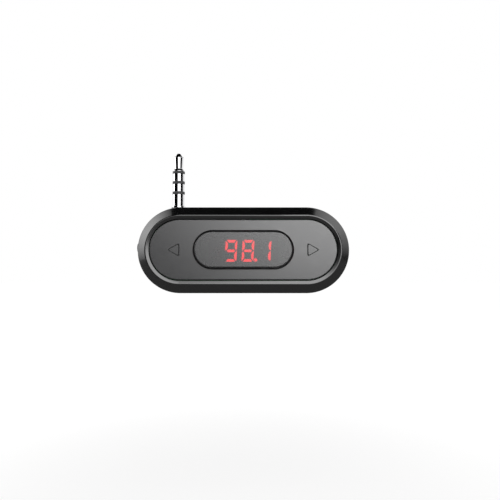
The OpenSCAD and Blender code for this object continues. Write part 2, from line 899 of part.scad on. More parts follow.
// A wire that runs along X, turns forward and ends on the board's rear face
module battery_lead(y) {
    bend = 4 * lead_r;
    turn_x = battery_l / 2 + bend / 2;
    z = battery_back + battery_t / 2;
    translate([battery_l / 2, y, z]) rotate([0, 90, 0])
        cylinder(r = lead_r, h = bend / 2, $fn = 24);
    translate([turn_x, y, z + bend]) rotate([90, 0, 0])
        rotate([0, 0, -90]) rotate_extrude(angle = 90) translate([bend, 0]) circle(lead_r, $fn = 24);
    translate([turn_x + bend, y, z + bend])
        cylinder(r = lead_r, h = board_back - z - bend, $fn = 24);
}

module battery_leads() color([0.7, 0.05, 0.05]) {
    for (side = [-1, 1]) battery_lead(side * battery_w / 6 - battery_drop);
}

module antenna_wire() color([0.8, 0.5, 0.2]) {
    translate([half, 0, board_front + lead_r]) rotate([0, 0, -80])
        rotate_extrude(angle = 160) translate([board_r - 4 * lead_r, 0]) circle(lead_r, $fn = 24);
}

// A chip with its legs, hanging from the board's rear face
module chip(size, place, legs) {
    leg_w = size[0] / (2 * legs + 1);
    reach = size[1] / 2 + size[2] / 2;
    translate([place[0], place[1], board_back]) {
        translate([0, 0, -size[2]]) centred_slab([size[0], size[1], size[2] * 4 / 5], size[2] / 8);
        for (i = [0 : legs - 1], side = [-1, 1])
            translate([(i - (legs - 1) / 2) * 2 * leg_w, side * (size[1] / 2 + reach) / 2, 0])
                block([-leg_w / 2, (size[1] / 2 - reach) / 2, -size[2] / 4],
                    [leg_w / 2, (reach - size[1] / 2) / 2, 0]);
        for (i = [0 : legs - 1], side = [-1, 1])
            translate([(i - (legs - 1) / 2) * 2 * leg_w, side * size[1] / 2, 0])
                block([-leg_w / 2, -size[2] / 4, -size[2] / 2], [leg_w / 2, size[2] / 4, 0]);
    }
}

// Chips as width, height and thickness, and the legs on each side
fm_size = [5, 4, 1];
fm_legs = 5;
fm_place = [-post_x * 2 / 3, -fm_size[1] / 2];
control_size = [7, 3.6, 1];
control_legs = 8;
charge_size = [3, 1.6, 1];
charge_legs = 3;
charge_place = [post_x, charge_size[1] / 2];

module fm_chip() color([0.08, 0.08, 0.08]) chip(fm_size, fm_place, fm_legs);

module control_chip() color([0.08, 0.08, 0.08]) chip(control_size, [0, 0], control_legs);

module charge_chip() color([0.08, 0.08, 0.08]) chip(charge_size, charge_place, charge_legs);

crystal_size = [3.2, 1.5, 0.8];

module crystal() color("silver") {
    translate([fm_place[0], fm_place[1] - fm_size[1] / 2 - crystal_size[1] * 3 / 2,
        board_back - crystal_size[2]])
        centred_slab(crystal_size, crystal_size[2] / 2);
}

// A drum core with its winding between two square flanges
module coil() color([0.3, 0.28, 0.27]) {
    size = tallest_part;
    translate([fm_place[0], fm_place[1] + fm_size[1] / 2 + 2 * size, board_back - size]) {
        for (z = [0, size * 3 / 4])
            translate([0, 0, z]) centred_slab([2 * size, 2 * size, size / 4], size / 8);
        translate([0, 0, size / 8]) cylinder(r = size * 3 / 4, h = size * 3 / 4);
    }
}

// Width, length and height of a resistor and of a capacitor
resistor_w = 0.5;
resistor_l = 1;
resistor_h = 0.35;
resistor = [resistor_w, resistor_l, resistor_h];
capacitor = resistor * 8 / 5;
part_pitch = 1.2;

module resistors() color([0.12, 0.12, 0.13]) {
    for (row = [0 : 3], side = [-1, 1])
        translate([side * (module_w / 2 + row * part_pitch),
            trough_y - board_clear - resistor_l * 2, board_back - resistor_h])
            centred_slab(resistor, resistor_h / 4);
}

module capacitors() color([0.6, 0.45, 0.3]) {
    for (row = [0 : 3])
        translate([module_w / 2 + row * part_pitch, -pin_row_y, board_back - capacitor[2]])
            centred_slab(capacitor, resistor_h / 4);
}

// Charging socket

module along_end(length, x) {
    translate([x, 0, seam_z]) rotate([90, 0, 90]) linear_extrude(length) children();
}

module usb_shell() color([0.8, 0.8, 0.82]) {
    difference() {
        along_end(usb_l, usb_mouth - usb_l) usb_outline(0);
        along_end(usb_l, usb_mouth - usb_l + usb_t) usb_outline(-usb_t);
    }
}

tongue_z = usb_h / 2 - usb_t - 1.5 * tongue_d;

module usb_tongue() color([0.1, 0.1, 0.1]) {
    root_l = usb_l / 4;
    back = usb_mouth - usb_l + usb_t;
    along_end(usb_l - usb_t - usb_l / 10, back)
        translate([-tongue_w / 2, tongue_z]) square([tongue_w, tongue_d]);
    along_end(root_l, back)
        translate([-tongue_w / 2, usb_t - usb_h / 2]) square([tongue_w, usb_h - 2 * usb_t]);
}

module usb_contacts() color([0.85, 0.7, 0.35]) {
    pitch = tongue_w / 6;
    for (i = [-2 : 2])
        along_end(usb_l / 2, usb_mouth - usb_l * 2 / 3)
            translate([i * pitch - pitch / 4, tongue_z - tongue_d / 4])
                square([pitch / 2, tongue_d / 4]);
}

// Power switch

lever_len = pad_x - recess_x + lever_gap + switch_d / 2;

module switch_knob() color([0.05, 0.05, 0.05]) {
    end = -case_w / 2 - knob_proud;
    top = recess_x - lever_gap / 2;
    translate([end, knob_y, seam_z]) rotate([0, 90, 0])
        rotate_extrude()
            polygon(rounded([
                [0, 0, 0],
                [knob_r, 0, knob_gap / 2],
                [knob_r, top - end, 0],
                [0, top - end, 0]
            ]));
}

module switch_lever() color([0.1, 0.1, 0.1]) {
    block([recess_x - lever_gap / 2, knob_y - lever_t / 2, seam_z - lever_t / 2],
        [recess_x - lever_gap / 2 + lever_len, knob_y + lever_t / 2, seam_z + lever_t / 2]);
}

module switch_body() color([0.7, 0.7, 0.72]) {
    low = seam_z - lever_t / 2 - lever_gap - switch_wall;
    difference() {
        block([switch_x, recess_y - switch_l / 2, low],
            [switch_x + switch_d, recess_y + switch_l / 2, board_back]);
        block([switch_x - over, recess_y - (switch_travel + lever_t) / 2 - lever_gap,
            seam_z - lever_t / 2 - lever_gap],
            [switch_x + switch_d / 2 + lever_gap,
                recess_y + (switch_travel + lever_t) / 2 + lever_gap,
                seam_z + lever_t / 2 + lever_gap]);
    }
}

module switch_terminals() color("silver") {
    for (i = [-1 : 1])
        translate([switch_x + switch_d, recess_y + i * switch_l / 4, board_back])
            block([0, -switch_wall / 2, -switch_wall], [2 * switch_wall, switch_wall / 2, 0]);
}

// Plug and swivel

module plug_swivel() color([0.06, 0.06, 0.065]) {
    length = 2 * (groove_half - swivel_side_gap);
    difference() {
        union() {
            on_pivot() cylinder(r = swivel_r, h = length, center = true);
            on_plug_axis() cylinder(r = swivel_r, h = shoulder_s);
        }
        on_pivot() cylinder(r = hinge_pin_r + pin_gap, h = length + 2 * over, center = true);
        on_plug_axis() translate([0, 0, base_s])
            cylinder(r = sleeve_seat_r + stem_gap, h = seat_len + over);
        on_pivot()
            block([-swivel_r - over, -swivel_r - over, -swivel_r - over],
                [swivel_r + over, flat_depth - swivel_r, swivel_r + over]);
        on_pivot()
            block([swivel_r - flat_depth, -swivel_r - over, -swivel_r - over],
                [swivel_r + over, swivel_r / 2, swivel_r + over]);
    }
}

module hinge_pin() color("silver") {
    length = 2 * (groove_half + pin_seat - over);
    on_pivot() cylinder(r = hinge_pin_r, h = length, center = true);
}

// A bowed leaf on the groove's floor, under the swivel's flat
module detent_spring() color([0.75, 0.75, 0.7]) {
    t = stem_t;
    reach = 3 * swivel_r / 4;
    rise = swivel_gap + flat_depth - t - over;
    bow = (reach * reach + rise * rise) / (2 * rise);
    leaf_w = groove_half * 3 / 4;
    translate([pivot_x, groove_floor, seam_z + pin_gap])
        intersection() {
            block([-reach, 0, 0], [reach, 2 * rise + t, leaf_w]);
            translate([0, rise - bow, 0]) difference() {
                cylinder(r = bow + t, h = leaf_w);
                translate([0, 0, -over]) cylinder(r = bow, h = leaf_w + 2 * over);
            }
        }
}

// A wire from the swivel through the groove's floor to the board's rear face
module plug_lead(x) {
    top = pivot_y - sqrt(pow(swivel_r, 2) - x * x);
    top_y = max(top, pivot_y - swivel_r + flat_depth) - over;
    bend_y = trough_y - lead_bend;
    translate([pivot_x + x, bend_y, lead_z]) {
        rotate([-90, 0, 0]) cylinder(r = lead_r, h = top_y - bend_y, $fn = 24);
        translate([0, 0, lead_bend]) rotate([0, -90, 0]) rotate([0, 0, 180])
            rotate_extrude(angle = 90) translate([lead_bend, 0]) circle(lead_r, $fn = 24);
        translate([0, -lead_bend, lead_bend])
            cylinder(r = lead_r, h = board_back - lead_z - lead_bend, $fn = 24);
    }
}

module plug_leads() color([0.1, 0.4, 0.2]) {
    for (i = [-1.5 : 1.5]) plug_lead(i * lead_pitch);
}

// Outer radius of the nth nested tube, counted from the tip's stem
function stem_out(n) = stem_core_r + n * (stem_t + stem_gap);

sleeve_in_r = plug_r - 2 * stem_t;
stem_core_r = sleeve_in_r - stem_gap - 5 * (stem_t + stem_gap);

// A pole: a ring of full radius on a thin tube that runs down into the moulding
module pole(n, from, to) {
    rotate_extrude()
        polygon([
            [stem_out(n) - stem_t, base_s], [stem_out(n), base_s], [stem_out(n), from],
            [plug_r, from], [plug_r, to], [stem_out(n) - stem_t, to]
        ]);
}

band_1 = tip_s - tip_len - band_len;
band_2 = band_1 - ring_len - band_len;
band_3 = band_2 - ring_len - band_len;

module plug_tip() color([0.85, 0.85, 0.86]) {
    on_plug_axis() rotate_extrude()
        polygon(rounded([
            [0, base_s, 0],
            [stem_out(0), base_s, 0],
            [stem_out(0), tip_s - tip_len, 0],
            [plug_r, tip_s - tip_len, 0],
            [plug_r, tip_s - tip_len + band_len / 2, 0],
            [neck_r, tip_s - tip_len + band_len * 3 / 2, neck_r / 3],
            [tip_r, tip_s - tip_dome, neck_r / 4],
            [tip_r * 2 / 3, tip_s - tip_dome * 2 / 3, neck_r / 4],
            [tip_r / 3, tip_s, tip_r / 4],
            [0, tip_s, 0]
        ]));
}

module plug_ring_front() color([0.85, 0.85, 0.86]) {
    on_plug_axis() pole(2, band_2 + band_len, band_1);
}

module plug_ring_rear() color([0.85, 0.85, 0.86]) {
    on_plug_axis() pole(4, band_3 + band_len, band_2);
}

module plug_sleeve() color([0.85, 0.85, 0.86]) {
    on_plug_axis() rotate_extrude()
        polygon([
            [sleeve_in_r, base_s], [sleeve_seat_r, base_s], [sleeve_seat_r, shoulder_s],
            [plug_r, shoulder_s], [plug_r, band_3], [sleeve_in_r, band_3]
        ]);
}

module plug_insulators() color([0.1, 0.1, 0.1]) {
    on_plug_axis() {
        pole(1, band_1, band_1 + band_len);
        pole(3, band_2, band_2 + band_len);
        pole(5, band_3, band_3 + band_len);
    }
}

upright() rear_shell();
upright() front_shell();
upright() rocker_plate();
upright() display_window();
upright() window_guide();
upright() window_domes();
upright() rocker_domes();
upright() display_module();
upright() display_pins();
upright() segments_lit();
upright() segments_dark();
upright() main_board();
upright() board_screws();
upright() battery_cell();
upright() battery_tape();
upright() battery_leads();
upright() antenna_wire();
upright() fm_chip();
upright() control_chip();
upright() charge_chip();
upright() crystal();
upright() coil();
upright() resistors();
upright() capacitors();
upright() usb_shell();
upright() usb_tongue();
upright() usb_contacts();
upright() switch_body();
upright() switch_lever();
upright() switch_knob();
upright() switch_terminals();
upright() plug_swivel();
upright() hinge_pin();
upright() detent_spring();
upright() plug_leads();
upright() plug_tip();
upright() plug_ring_front();
upright() plug_ring_rear();
upright() plug_sleeve();
upright() plug_insulators();
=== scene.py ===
"""A car FM transmitter with a folding plug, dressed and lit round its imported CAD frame.

Pieces are modelled in face coordinates, as seen from the front: X to the right, Y up and Z
forward from the flat back. They are then stood upright, where forward is -Y and up is +Z.
All lengths are metres.
"""

from __future__ import annotations

import json
import logging
import math
from dataclasses import dataclass, field
from enum import Enum
from typing import Callable, Sequence, Union

import bmesh
import bpy
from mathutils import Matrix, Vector

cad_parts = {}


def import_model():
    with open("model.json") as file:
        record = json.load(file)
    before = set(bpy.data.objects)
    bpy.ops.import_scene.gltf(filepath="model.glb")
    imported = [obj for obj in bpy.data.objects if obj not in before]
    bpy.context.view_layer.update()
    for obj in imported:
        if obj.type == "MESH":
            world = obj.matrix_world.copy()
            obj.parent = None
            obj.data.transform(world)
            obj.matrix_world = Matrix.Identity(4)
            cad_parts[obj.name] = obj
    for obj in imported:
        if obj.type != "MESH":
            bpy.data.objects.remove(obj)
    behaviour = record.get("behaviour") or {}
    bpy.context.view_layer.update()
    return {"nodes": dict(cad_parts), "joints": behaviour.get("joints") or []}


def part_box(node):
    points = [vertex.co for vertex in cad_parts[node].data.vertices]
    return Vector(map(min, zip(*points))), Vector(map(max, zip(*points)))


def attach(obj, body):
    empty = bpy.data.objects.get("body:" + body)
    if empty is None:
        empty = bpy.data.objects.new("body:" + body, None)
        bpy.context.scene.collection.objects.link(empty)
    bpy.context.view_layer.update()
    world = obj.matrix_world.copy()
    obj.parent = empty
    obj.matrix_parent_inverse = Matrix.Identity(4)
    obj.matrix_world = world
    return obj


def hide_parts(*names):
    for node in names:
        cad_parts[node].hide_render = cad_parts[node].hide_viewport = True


LOG = logging.getLogger("transmitter")

MM = 0.001
QUARTER = math.pi / 2

# Vertices within MERGE become one, and a vertex within NEAR of a place counts as being there.
MERGE = 0.5e-6
NEAR = 2e-6

# Straight steps round half a racetrack, round a turned piece and round a slim or small one.
TRACK_STEPS = 48
ROUND_STEPS = 64
FINE_STEPS = 24

# Faces that turn by less than FLAT are joined, edges below SMOOTH are shaded smooth, and
# AREA_WEIGHT makes the normals follow the larger faces.
FLAT = math.radians(0.2)
SMOOTH = math.radians(30.0)
AREA_WEIGHT = 100

# A cutter reaches OVER past what it cuts, and SKIN tells a surface from what lies behind it.
OVER = 0.5 * MM
SKIN = 0.02 * MM

# The corner radius of the socket's metal shell, and the straight steps in each of its corners.
SOCKET_R = 0.35 * MM
SOCKET_STEPS = 5

RIGHT = Vector((1, 0, 0))
UP = Vector((0, 1, 0))
FORWARD = Vector((0, 0, 1))

Point = tuple[float, float]
Test = Callable[[Vector], bool]
Colour = tuple[float, float, float]

BLACK: Colour = (0.0, 0.0, 0.0)
WHITE: Colour = (1.0, 1.0, 1.0)
TIN: Colour = (0.72, 0.72, 0.7)

# A lamp's fade at its edges that leaves them crisp.
CRISP: Point = (0.0001, 0.0001)


class Body(Enum):
    """The CAD bodies that pieces ride on."""

    CASE = "case"
    PLUG = "plug"
    ROCKER = "rocker"
    WINDOW = "window"
    SWITCH = "switch"


class Pick(Enum):
    """What a selection is made of."""

    EDGES = "EDGE"
    FACES = "FACE"


class Cut(Enum):
    """How one workpiece changes another."""

    REMOVE = "DIFFERENCE"
    ADD = "UNION"


def rounded(corners: Sequence[tuple[float, float, float]], steps: int = 6) -> list[Point]:
    """Rounds the corners of a closed outline with arcs.

    Args:
        corners: each corner as across, up and radius.
        steps: straight steps in each arc.

    Returns:
        The outline's points in the same order.
    """
    outline: list[Point] = []
    for i, (x, y, radius) in enumerate(corners):
        here = Vector((x, y))
        before = Vector(corners[i - 1][:2])
        after = Vector(corners[(i + 1) % len(corners)][:2])
        if radius == 0:
            outline.append((x, y))
            continue
        u, v = (before - here).normalized(), (after - here).normalized()
        half_angle = u.angle(v) / 2
        middle = here + (u + v).normalized() * radius / math.sin(half_angle)
        reach = radius / math.tan(half_angle)
        first, last = here + u * reach - middle, here + v * reach - middle
        start = math.atan2(first.y, first.x)
        sweep = (math.atan2(last.y, last.x) - start + math.pi) % math.tau - math.pi
        for step in range(steps + 1):
            angle = start + sweep * step / steps
            across, up = radius * math.cos(angle), radius * math.sin(angle)
            outline.append((middle.x + across, middle.y + up))
    return outline


def track_reach(co: Vector, half: float) -> float:
    """Distance of a point from the middle line of a racetrack whose straight run is 2 * half."""
    return math.hypot(co.x - max(-half, min(half, co.x)), co.y)


def clear_selection() -> None:
    """Leaves edit mode and selects nothing."""
    if bpy.context.mode != "OBJECT":
        bpy.ops.object.mode_set(mode="OBJECT")
    bpy.ops.object.select_all(action="DESELECT")


class Bench:
    """A workpiece that is shaped with Blender's modelling operators, in face coordinates."""

    def __init__(self, start: Vector) -> None:
        """Starts from a small plane that is merged into one vertex.

        Args:
            start: where the vertex stands.
        """
        clear_selection()
        bpy.ops.mesh.primitive_plane_add(size=MM)
        self.obj: bpy.types.Object = bpy.context.object
        bpy.ops.object.mode_set(mode="EDIT")
        bpy.ops.mesh.select_mode(type="VERT")
        bpy.ops.mesh.select_all(action="SELECT")
        bpy.ops.mesh.merge(type="CENTER")
        bpy.ops.transform.translate(value=start)

    @classmethod
    def drawn(cls, path: Sequence[Vector], closed: bool) -> Bench:
        """Draws a line by extruding its first vertex from point to point.

        Args:
            path: the points of the line.
            closed: whether the line returns to its start.

        Returns:
            The workpiece, in edit mode.
        """
        bench = cls(path[0])
        stops = [*path[1:], path[0]] if closed else path[1:]
        for here, there in zip(path, stops):
            step = {"value": there - here}
            bpy.ops.mesh.extrude_vertices_move(TRANSFORM_OT_translate=step)
        bpy.ops.mesh.select_all(action="SELECT")
        bpy.ops.mesh.remove_doubles(threshold=MERGE)
        return bench

    @classmethod
    def swept(cls, half: float, profile: Sequence[Point], closed: bool) -> Bench:
        """Carries a profile round a racetrack.

        Args:
            half: half the length of the racetrack's straight run.
            profile: points as distance from the middle line and depth.
            closed: whether the profile is a loop; an open one starts and ends on the middle line.

        Returns:
            The workpiece, in edit mode.
        """
        bench = cls.drawn([Vector((half + r, 0, z)) for r, z in profile], closed)
        right, left = Vector((half, 0, 0)), Vector((-half, 0, 0))
        bpy.ops.transform.rotate(value=QUARTER, orient_axis="Z", center_override=right)
        for here, there in ((right, left), (left, right)):
            bpy.ops.mesh.spin(steps=TRACK_STEPS, angle=math.pi, center=here, axis=(0, 0, -1))
            move = {"value": there - here}
            bpy.ops.mesh.extrude_region_move(TRANSFORM_OT_translate=move)
        return bench.close()

    @classmethod
    def turned(
        cls, centre: Vector, axis: Vector, profile: Sequence[Point], closed: bool = False,
        steps: int = ROUND_STEPS,
    ) -> Bench:
        """Turns a profile round an axis, as on a lathe.

        Args:
            centre: a point on the axis, where heights are zero.
            axis: the axis, along one of the coordinate directions.
            profile: points as radius and height.
            closed: whether the profile is a loop; an open one starts and ends on the axis.
            steps: straight steps round the piece.

        Returns:
            The workpiece, in edit mode.
        """
        out = FORWARD if abs(axis.x) > 0 else RIGHT
        bench = cls.drawn([centre + out * r + axis * h for r, h in profile], closed)
        bpy.ops.mesh.spin(steps=steps, angle=math.tau, center=centre, axis=axis)
        return bench.close()

    @classmethod
    def rod(cls, foot: Vector, axis: Vector, radius: float, length: float) -> Bench:
        """Turns a slim round rod.

        Args:
            foot: the middle of its foot.
            axis: its direction, along one of the coordinate directions.
            radius: its radius.
            length: its length.

        Returns:
            The workpiece, in edit mode.
        """
        profile = [(0, 0), (radius, 0), (radius, length), (0, length)]
        return cls.turned(foot, axis, profile, steps=FINE_STEPS)

    @classmethod
    def pressed(cls, outline: Sequence[Vector], depth: Vector) -> Bench:
        """Fills an outline and extrudes it.

        Args:
            outline: the closed outline's points.
            depth: how far and where the filled face is extruded.

        Returns:
            The workpiece, in edit mode.
        """
        bench = cls.drawn(outline, True)
        bpy.ops.mesh.edge_face_add()
        bpy.ops.mesh.extrude_region_move(TRANSFORM_OT_translate={"value": depth})
        return bench.close()

    @classmethod
    def block(cls, low: Vector, high: Vector) -> Bench:
        """Draws the back of a box and extrudes it forwards.

        Args:
            low: the corner with the lowest coordinates.
            high: the corner with the highest ones.

        Returns:
            The workpiece, in edit mode.
        """
        size = high - low
        across, up = RIGHT * size.x, UP * size.y
        return cls.pressed([low, low + across, low + across + up, low + up], FORWARD * size.z)

    def close(self) -> Bench:
        """Merges doubles, joins the faces that lie flat together and turns every face outwards.

        Returns:
            The workpiece, in edit mode.
        """
        bpy.ops.mesh.select_all(action="SELECT")
        bpy.ops.mesh.remove_doubles(threshold=MERGE)
        bpy.ops.mesh.dissolve_limited(angle_limit=FLAT)
        bpy.ops.mesh.select_all(action="SELECT")
        bpy.ops.mesh.normals_make_consistent(inside=False)
        return self

    def activate(self) -> None:
        """Makes this the active workpiece, alone selected, in object mode."""
        clear_selection()
        self.obj.select_set(True)
        bpy.context.view_layer.objects.active = self.obj

    def pick(self, kind: Pick, test: Test) -> None:
        """Selects only the edges or faces all of whose corners pass a test, in edit mode.

        Args:
            kind: edges or faces.
            test: says whether a corner is wanted.
        """
        self.activate()
        bpy.ops.object.mode_set(mode="EDIT")
        bpy.ops.mesh.select_mode(type=kind.value)
        bpy.ops.mesh.select_all(action="DESELECT")
        mesh = bmesh.from_edit_mesh(self.obj.data)
        for part in mesh.edges if kind is Pick.EDGES else mesh.faces:
            if all(test(corner.co) for corner in part.verts):
                part.select_set(True)
        bmesh.update_edit_mesh(self.obj.data)

    def bevel(self, test: Test, width: float, segments: int) -> None:
        """Rounds the edges that pass a test."""
        self.pick(Pick.EDGES, test)
        bpy.ops.mesh.bevel(offset=width, segments=segments, profile=0.5)

    def bevel_ring(
        self, half: float, radius: float, depth: float, width: float, segments: int = 5
    ) -> None:
        """Rounds the edge that runs round a racetrack.

        Args:
            half: half the length of the racetrack's straight run.
            radius: the edge's distance from the middle line.
            depth: the edge's depth.
            width: how far the bevel reaches on each side.
            segments: straight steps across the bevel.
        """

        def on_ring(co: Vector) -> bool:
            """Whether a vertex stands on the edge."""
            return abs(track_reach(co, half) - radius) < NEAR and abs(co.z - depth) < NEAR

        self.bevel(on_ring, width, segments)

    def combine(self, other: Bench, how: Cut) -> Bench:
        """Adds another workpiece to this one, or cuts it away, and uses it up.

        Args:
            other: the workpiece that is added or cut away.
            how: add or remove.

        Returns:
            This workpiece, in object mode.
        """
        self.activate()
        modifier = self.obj.modifiers.new("combine", "BOOLEAN")
        modifier.operation = how.value
        modifier.solver = "EXACT"
        modifier.object = other.obj
        bpy.ops.object.modifier_apply(modifier=modifier.name)
        bpy.data.objects.remove(other.obj, do_unlink=True)
        return self

    def gather(self, others: Sequence[Bench]) -> Bench:
        """Joins separate solids into this workpiece, each kept as it is.

        Args:
            others: the workpieces that are joined to this one and used up.

        Returns:
            This workpiece, in object mode.
        """
        self.activate()
        for other in others:
            other.obj.select_set(True)
        bpy.ops.object.join()
        return self

    def stand(self) -> bpy.types.Object:
        """Stands the piece upright, shades it and leaves its object at the origin.

        Returns:
            The finished object.
        """
        self.activate()
        self.obj.rotation_euler = (QUARTER, 0, 0)
        bpy.ops.object.transform_apply(location=True, rotation=True, scale=True)
        bpy.ops.object.shade_smooth_by_angle(angle=SMOOTH)
        modifier = self.obj.modifiers.new("even", "WEIGHTED_NORMAL")
        modifier.keep_sharp = True
        modifier.weight = AREA_WEIGHT
        bpy.ops.object.modifier_apply(modifier=modifier.name)
        return self.obj


class Wire:
    """One value in a node tree; arithmetic on it adds Math nodes."""

    def __init__(self, graph: Graph, socket: bpy.types.NodeSocket) -> None:
        """Wraps an output socket of a graph."""
        self.graph = graph
        self.socket = socket

    def _math(self, operation: str, *values: Value) -> Wire:
        """Adds a Math node."""
        inputs = dict(enumerate(values))
        return self.graph.node("ShaderNodeMath", {"operation": operation}, inputs)

    def __add__(self, other: Value) -> Wire:
        """self + other."""
        return self._math("ADD", self, other)

    def __radd__(self, other: Value) -> Wire:
        """other + self."""
        return self._math("ADD", other, self)

    def __sub__(self, other: Value) -> Wire:
        """self - other."""
        return self._math("SUBTRACT", self, other)

    def __rsub__(self, other: Value) -> Wire:
        """other - self."""
        return self._math("SUBTRACT", other, self)

    def __mul__(self, other: Value) -> Wire:
        """self * other."""
        return self._math("MULTIPLY", self, other)

    def __rmul__(self, other: Value) -> Wire:
        """other * self."""
        return self._math("MULTIPLY", other, self)

    def __truediv__(self, other: Value) -> Wire:
        """self / other."""
        return self._math("DIVIDE", self, other)

    def __rtruediv__(self, other: Value) -> Wire:
        """other / self."""
        return self._math("DIVIDE", other, self)

    def __gt__(self, other: Value) -> Wire:
        """1 where self is above other, else 0."""
        return self._math("GREATER_THAN", self, other)

    def __abs__(self) -> Wire:
        """The value without its sign."""
        return self._math("ABSOLUTE", self)

    def ramp(self, low: float, high: float) -> Wire:
        """Rises smoothly from 0 to 1.

        Args:
            low: the value at which it is 0.
            high: the value at which it is 1.

        Returns:
            The share as a wire.
        """
        settings = {"interpolation_type": "SMOOTHSTEP"}
        inputs = {"Value": self, "From Min": low, "From Max": high}
        return self.graph.node("ShaderNodeMapRange", settings, inputs)


Value = Union[float, Wire, tuple, Vector]
Inputs = dict[Union[int, str], Value]


def tint(colour: Colour, factor: float) -> Colour:
    """A colour made darker or lighter by a factor."""
    return tuple(c * factor for c in colour)


class Graph:
    """A material's node tree."""

    def __init__(self, name: str) -> None:
        """Starts a material with a principled shader.

        Args:
            name: the material's name.
        """
        self.material = bpy.data.materials.new(name)
        self.material.use_nodes = True
        self.tree = self.material.node_tree
        self.shader = self.tree.nodes["Principled BSDF"]

    def feed(self, node: bpy.types.Node, key: Union[int, str], value: Value) -> None:
        """Sets or links one input of a node.

        Args:
            node: the node.
            key: the input's name or place.
            value: a number, colour, vector or wire.
        """
        if isinstance(key, int):
            socket = node.inputs[key]
        else:
            socket = next(s for s in node.inputs if s.enabled and s.name == key)
        if isinstance(value, Wire):
            self.tree.links.new(value.socket, socket)
        elif socket.type == "RGBA" and len(value) == 3:
            socket.default_value = (*value, 1.0)
        else:
            socket.default_value = value

    def node(
        self, kind: str, settings: dict[str, object] | None = None,
        inputs: Inputs | None = None, output: str | None = None,
    ) -> Wire:
        """Adds a node, its settings first and then its inputs.

        Args:
            kind: the node's type.
            settings: the node's own properties.
            inputs: values or wires for its inputs.
            output: the wanted output's name, or the first one that is in use.

        Returns:
            The output as a wire.
        """
        node = self.tree.nodes.new(kind)
        for key, value in (settings or {}).items():
            setattr(node, key, value)
        for key, value in (inputs or {}).items():
            self.feed(node, key, value)
        found = [s for s in node.outputs if s.enabled and output in (None, s.name)]
        return Wire(self, found[0])

    def place(self, size: Vector | None = None) -> Wire:
        """Object coordinates.

        Args:
            size: the size of the pattern that reads them, which divides them, or None.

        Returns:
            The coordinates as a wire.
        """
        spot = self.node("ShaderNodeTexCoord", output="Object")
        if size is None:
            return spot
        scale = tuple(1 / x for x in size)
        return self.node("ShaderNodeMapping", None, {"Vector": spot, "Scale": scale})

    def axis(self, name: str) -> Wire:
        """One object coordinate, X, Y or Z, in metres."""
        return self.node("ShaderNodeSeparateXYZ", None, {"Vector": self.place()}, name)

    def noise(self, size: float | Vector, detail: float = 2.0, roughness: float = 0.5) -> Wire:
        """A soft random pattern round 0.5.

        Args:
            size: the size of its lumps, or three sizes for a stretched pattern.
            detail: octaves of finer lumps.
            roughness: strength of the finer lumps.

        Returns:
            The pattern as a wire.
        """
        spread = size if isinstance(size, Vector) else Vector((size, size, size))
        inputs = {"Vector": self.place(spread), "Scale": 1.0}
        inputs |= {"Detail": detail, "Roughness": roughness}
        return self.node("ShaderNodeTexNoise", None, inputs, "Fac")

    def cells(self, size: float) -> Wire:
        """Distance to the nearest of scattered points, in cells of about the given size."""
        inputs = {"Vector": self.place(Vector((size, size, size))), "Scale": 1.0}
        return self.node("ShaderNodeTexVoronoi", None, inputs, "Distance")

    def blend(self, share: Value, first: Value, second: Value) -> Wire:
        """Mixes two colours.

        Args:
            share: 0 for the first, 1 for the second.
            first: a colour.
            second: a colour.

        Returns:
            The mixed colour.
        """
        inputs = {"Factor": share, "A": first, "B": second}
        return self.node("ShaderNodeMix", {"data_type": "RGBA"}, inputs)

    def mottle(self, share: Value, colour: Colour, spread: float) -> Wire:
        """Varies a colour from a little darker to a little lighter.

        Args:
            share: 0 for the darkest, 1 for the lightest.
            colour: the middle colour.
            spread: how far it varies either way, as a share.

        Returns:
            The colour as a wire.
        """
        return self.blend(share, tint(colour, 1 - spread), tint(colour, 1 + spread))

    def bump(self, height: Wire, depth: float, under: Wire | None = None) -> Wire:
        """Tilts the surface by a height pattern.

        Args:
            height: the pattern, 0 to 1.
            depth: what a height of 1 stands for.
            under: a bump that this one adds to.

        Returns:
            The normal.
        """
        inputs: Inputs = {"Height": height, "Distance": depth, "Strength": 1.0}
        if under is not None:
            inputs["Normal"] = under
        return self.node("ShaderNodeBump", None, inputs)

    def finish(self, **sockets: Value) -> bpy.types.Material:
        """Feeds the shader.

        Args:
            **sockets: a value or wire for each socket, its name written with underscores.

        Returns:
            The material.
        """
        for key, value in sockets.items():
            self.feed(self.shader, key.replace("_", " "), value)
        return self.material


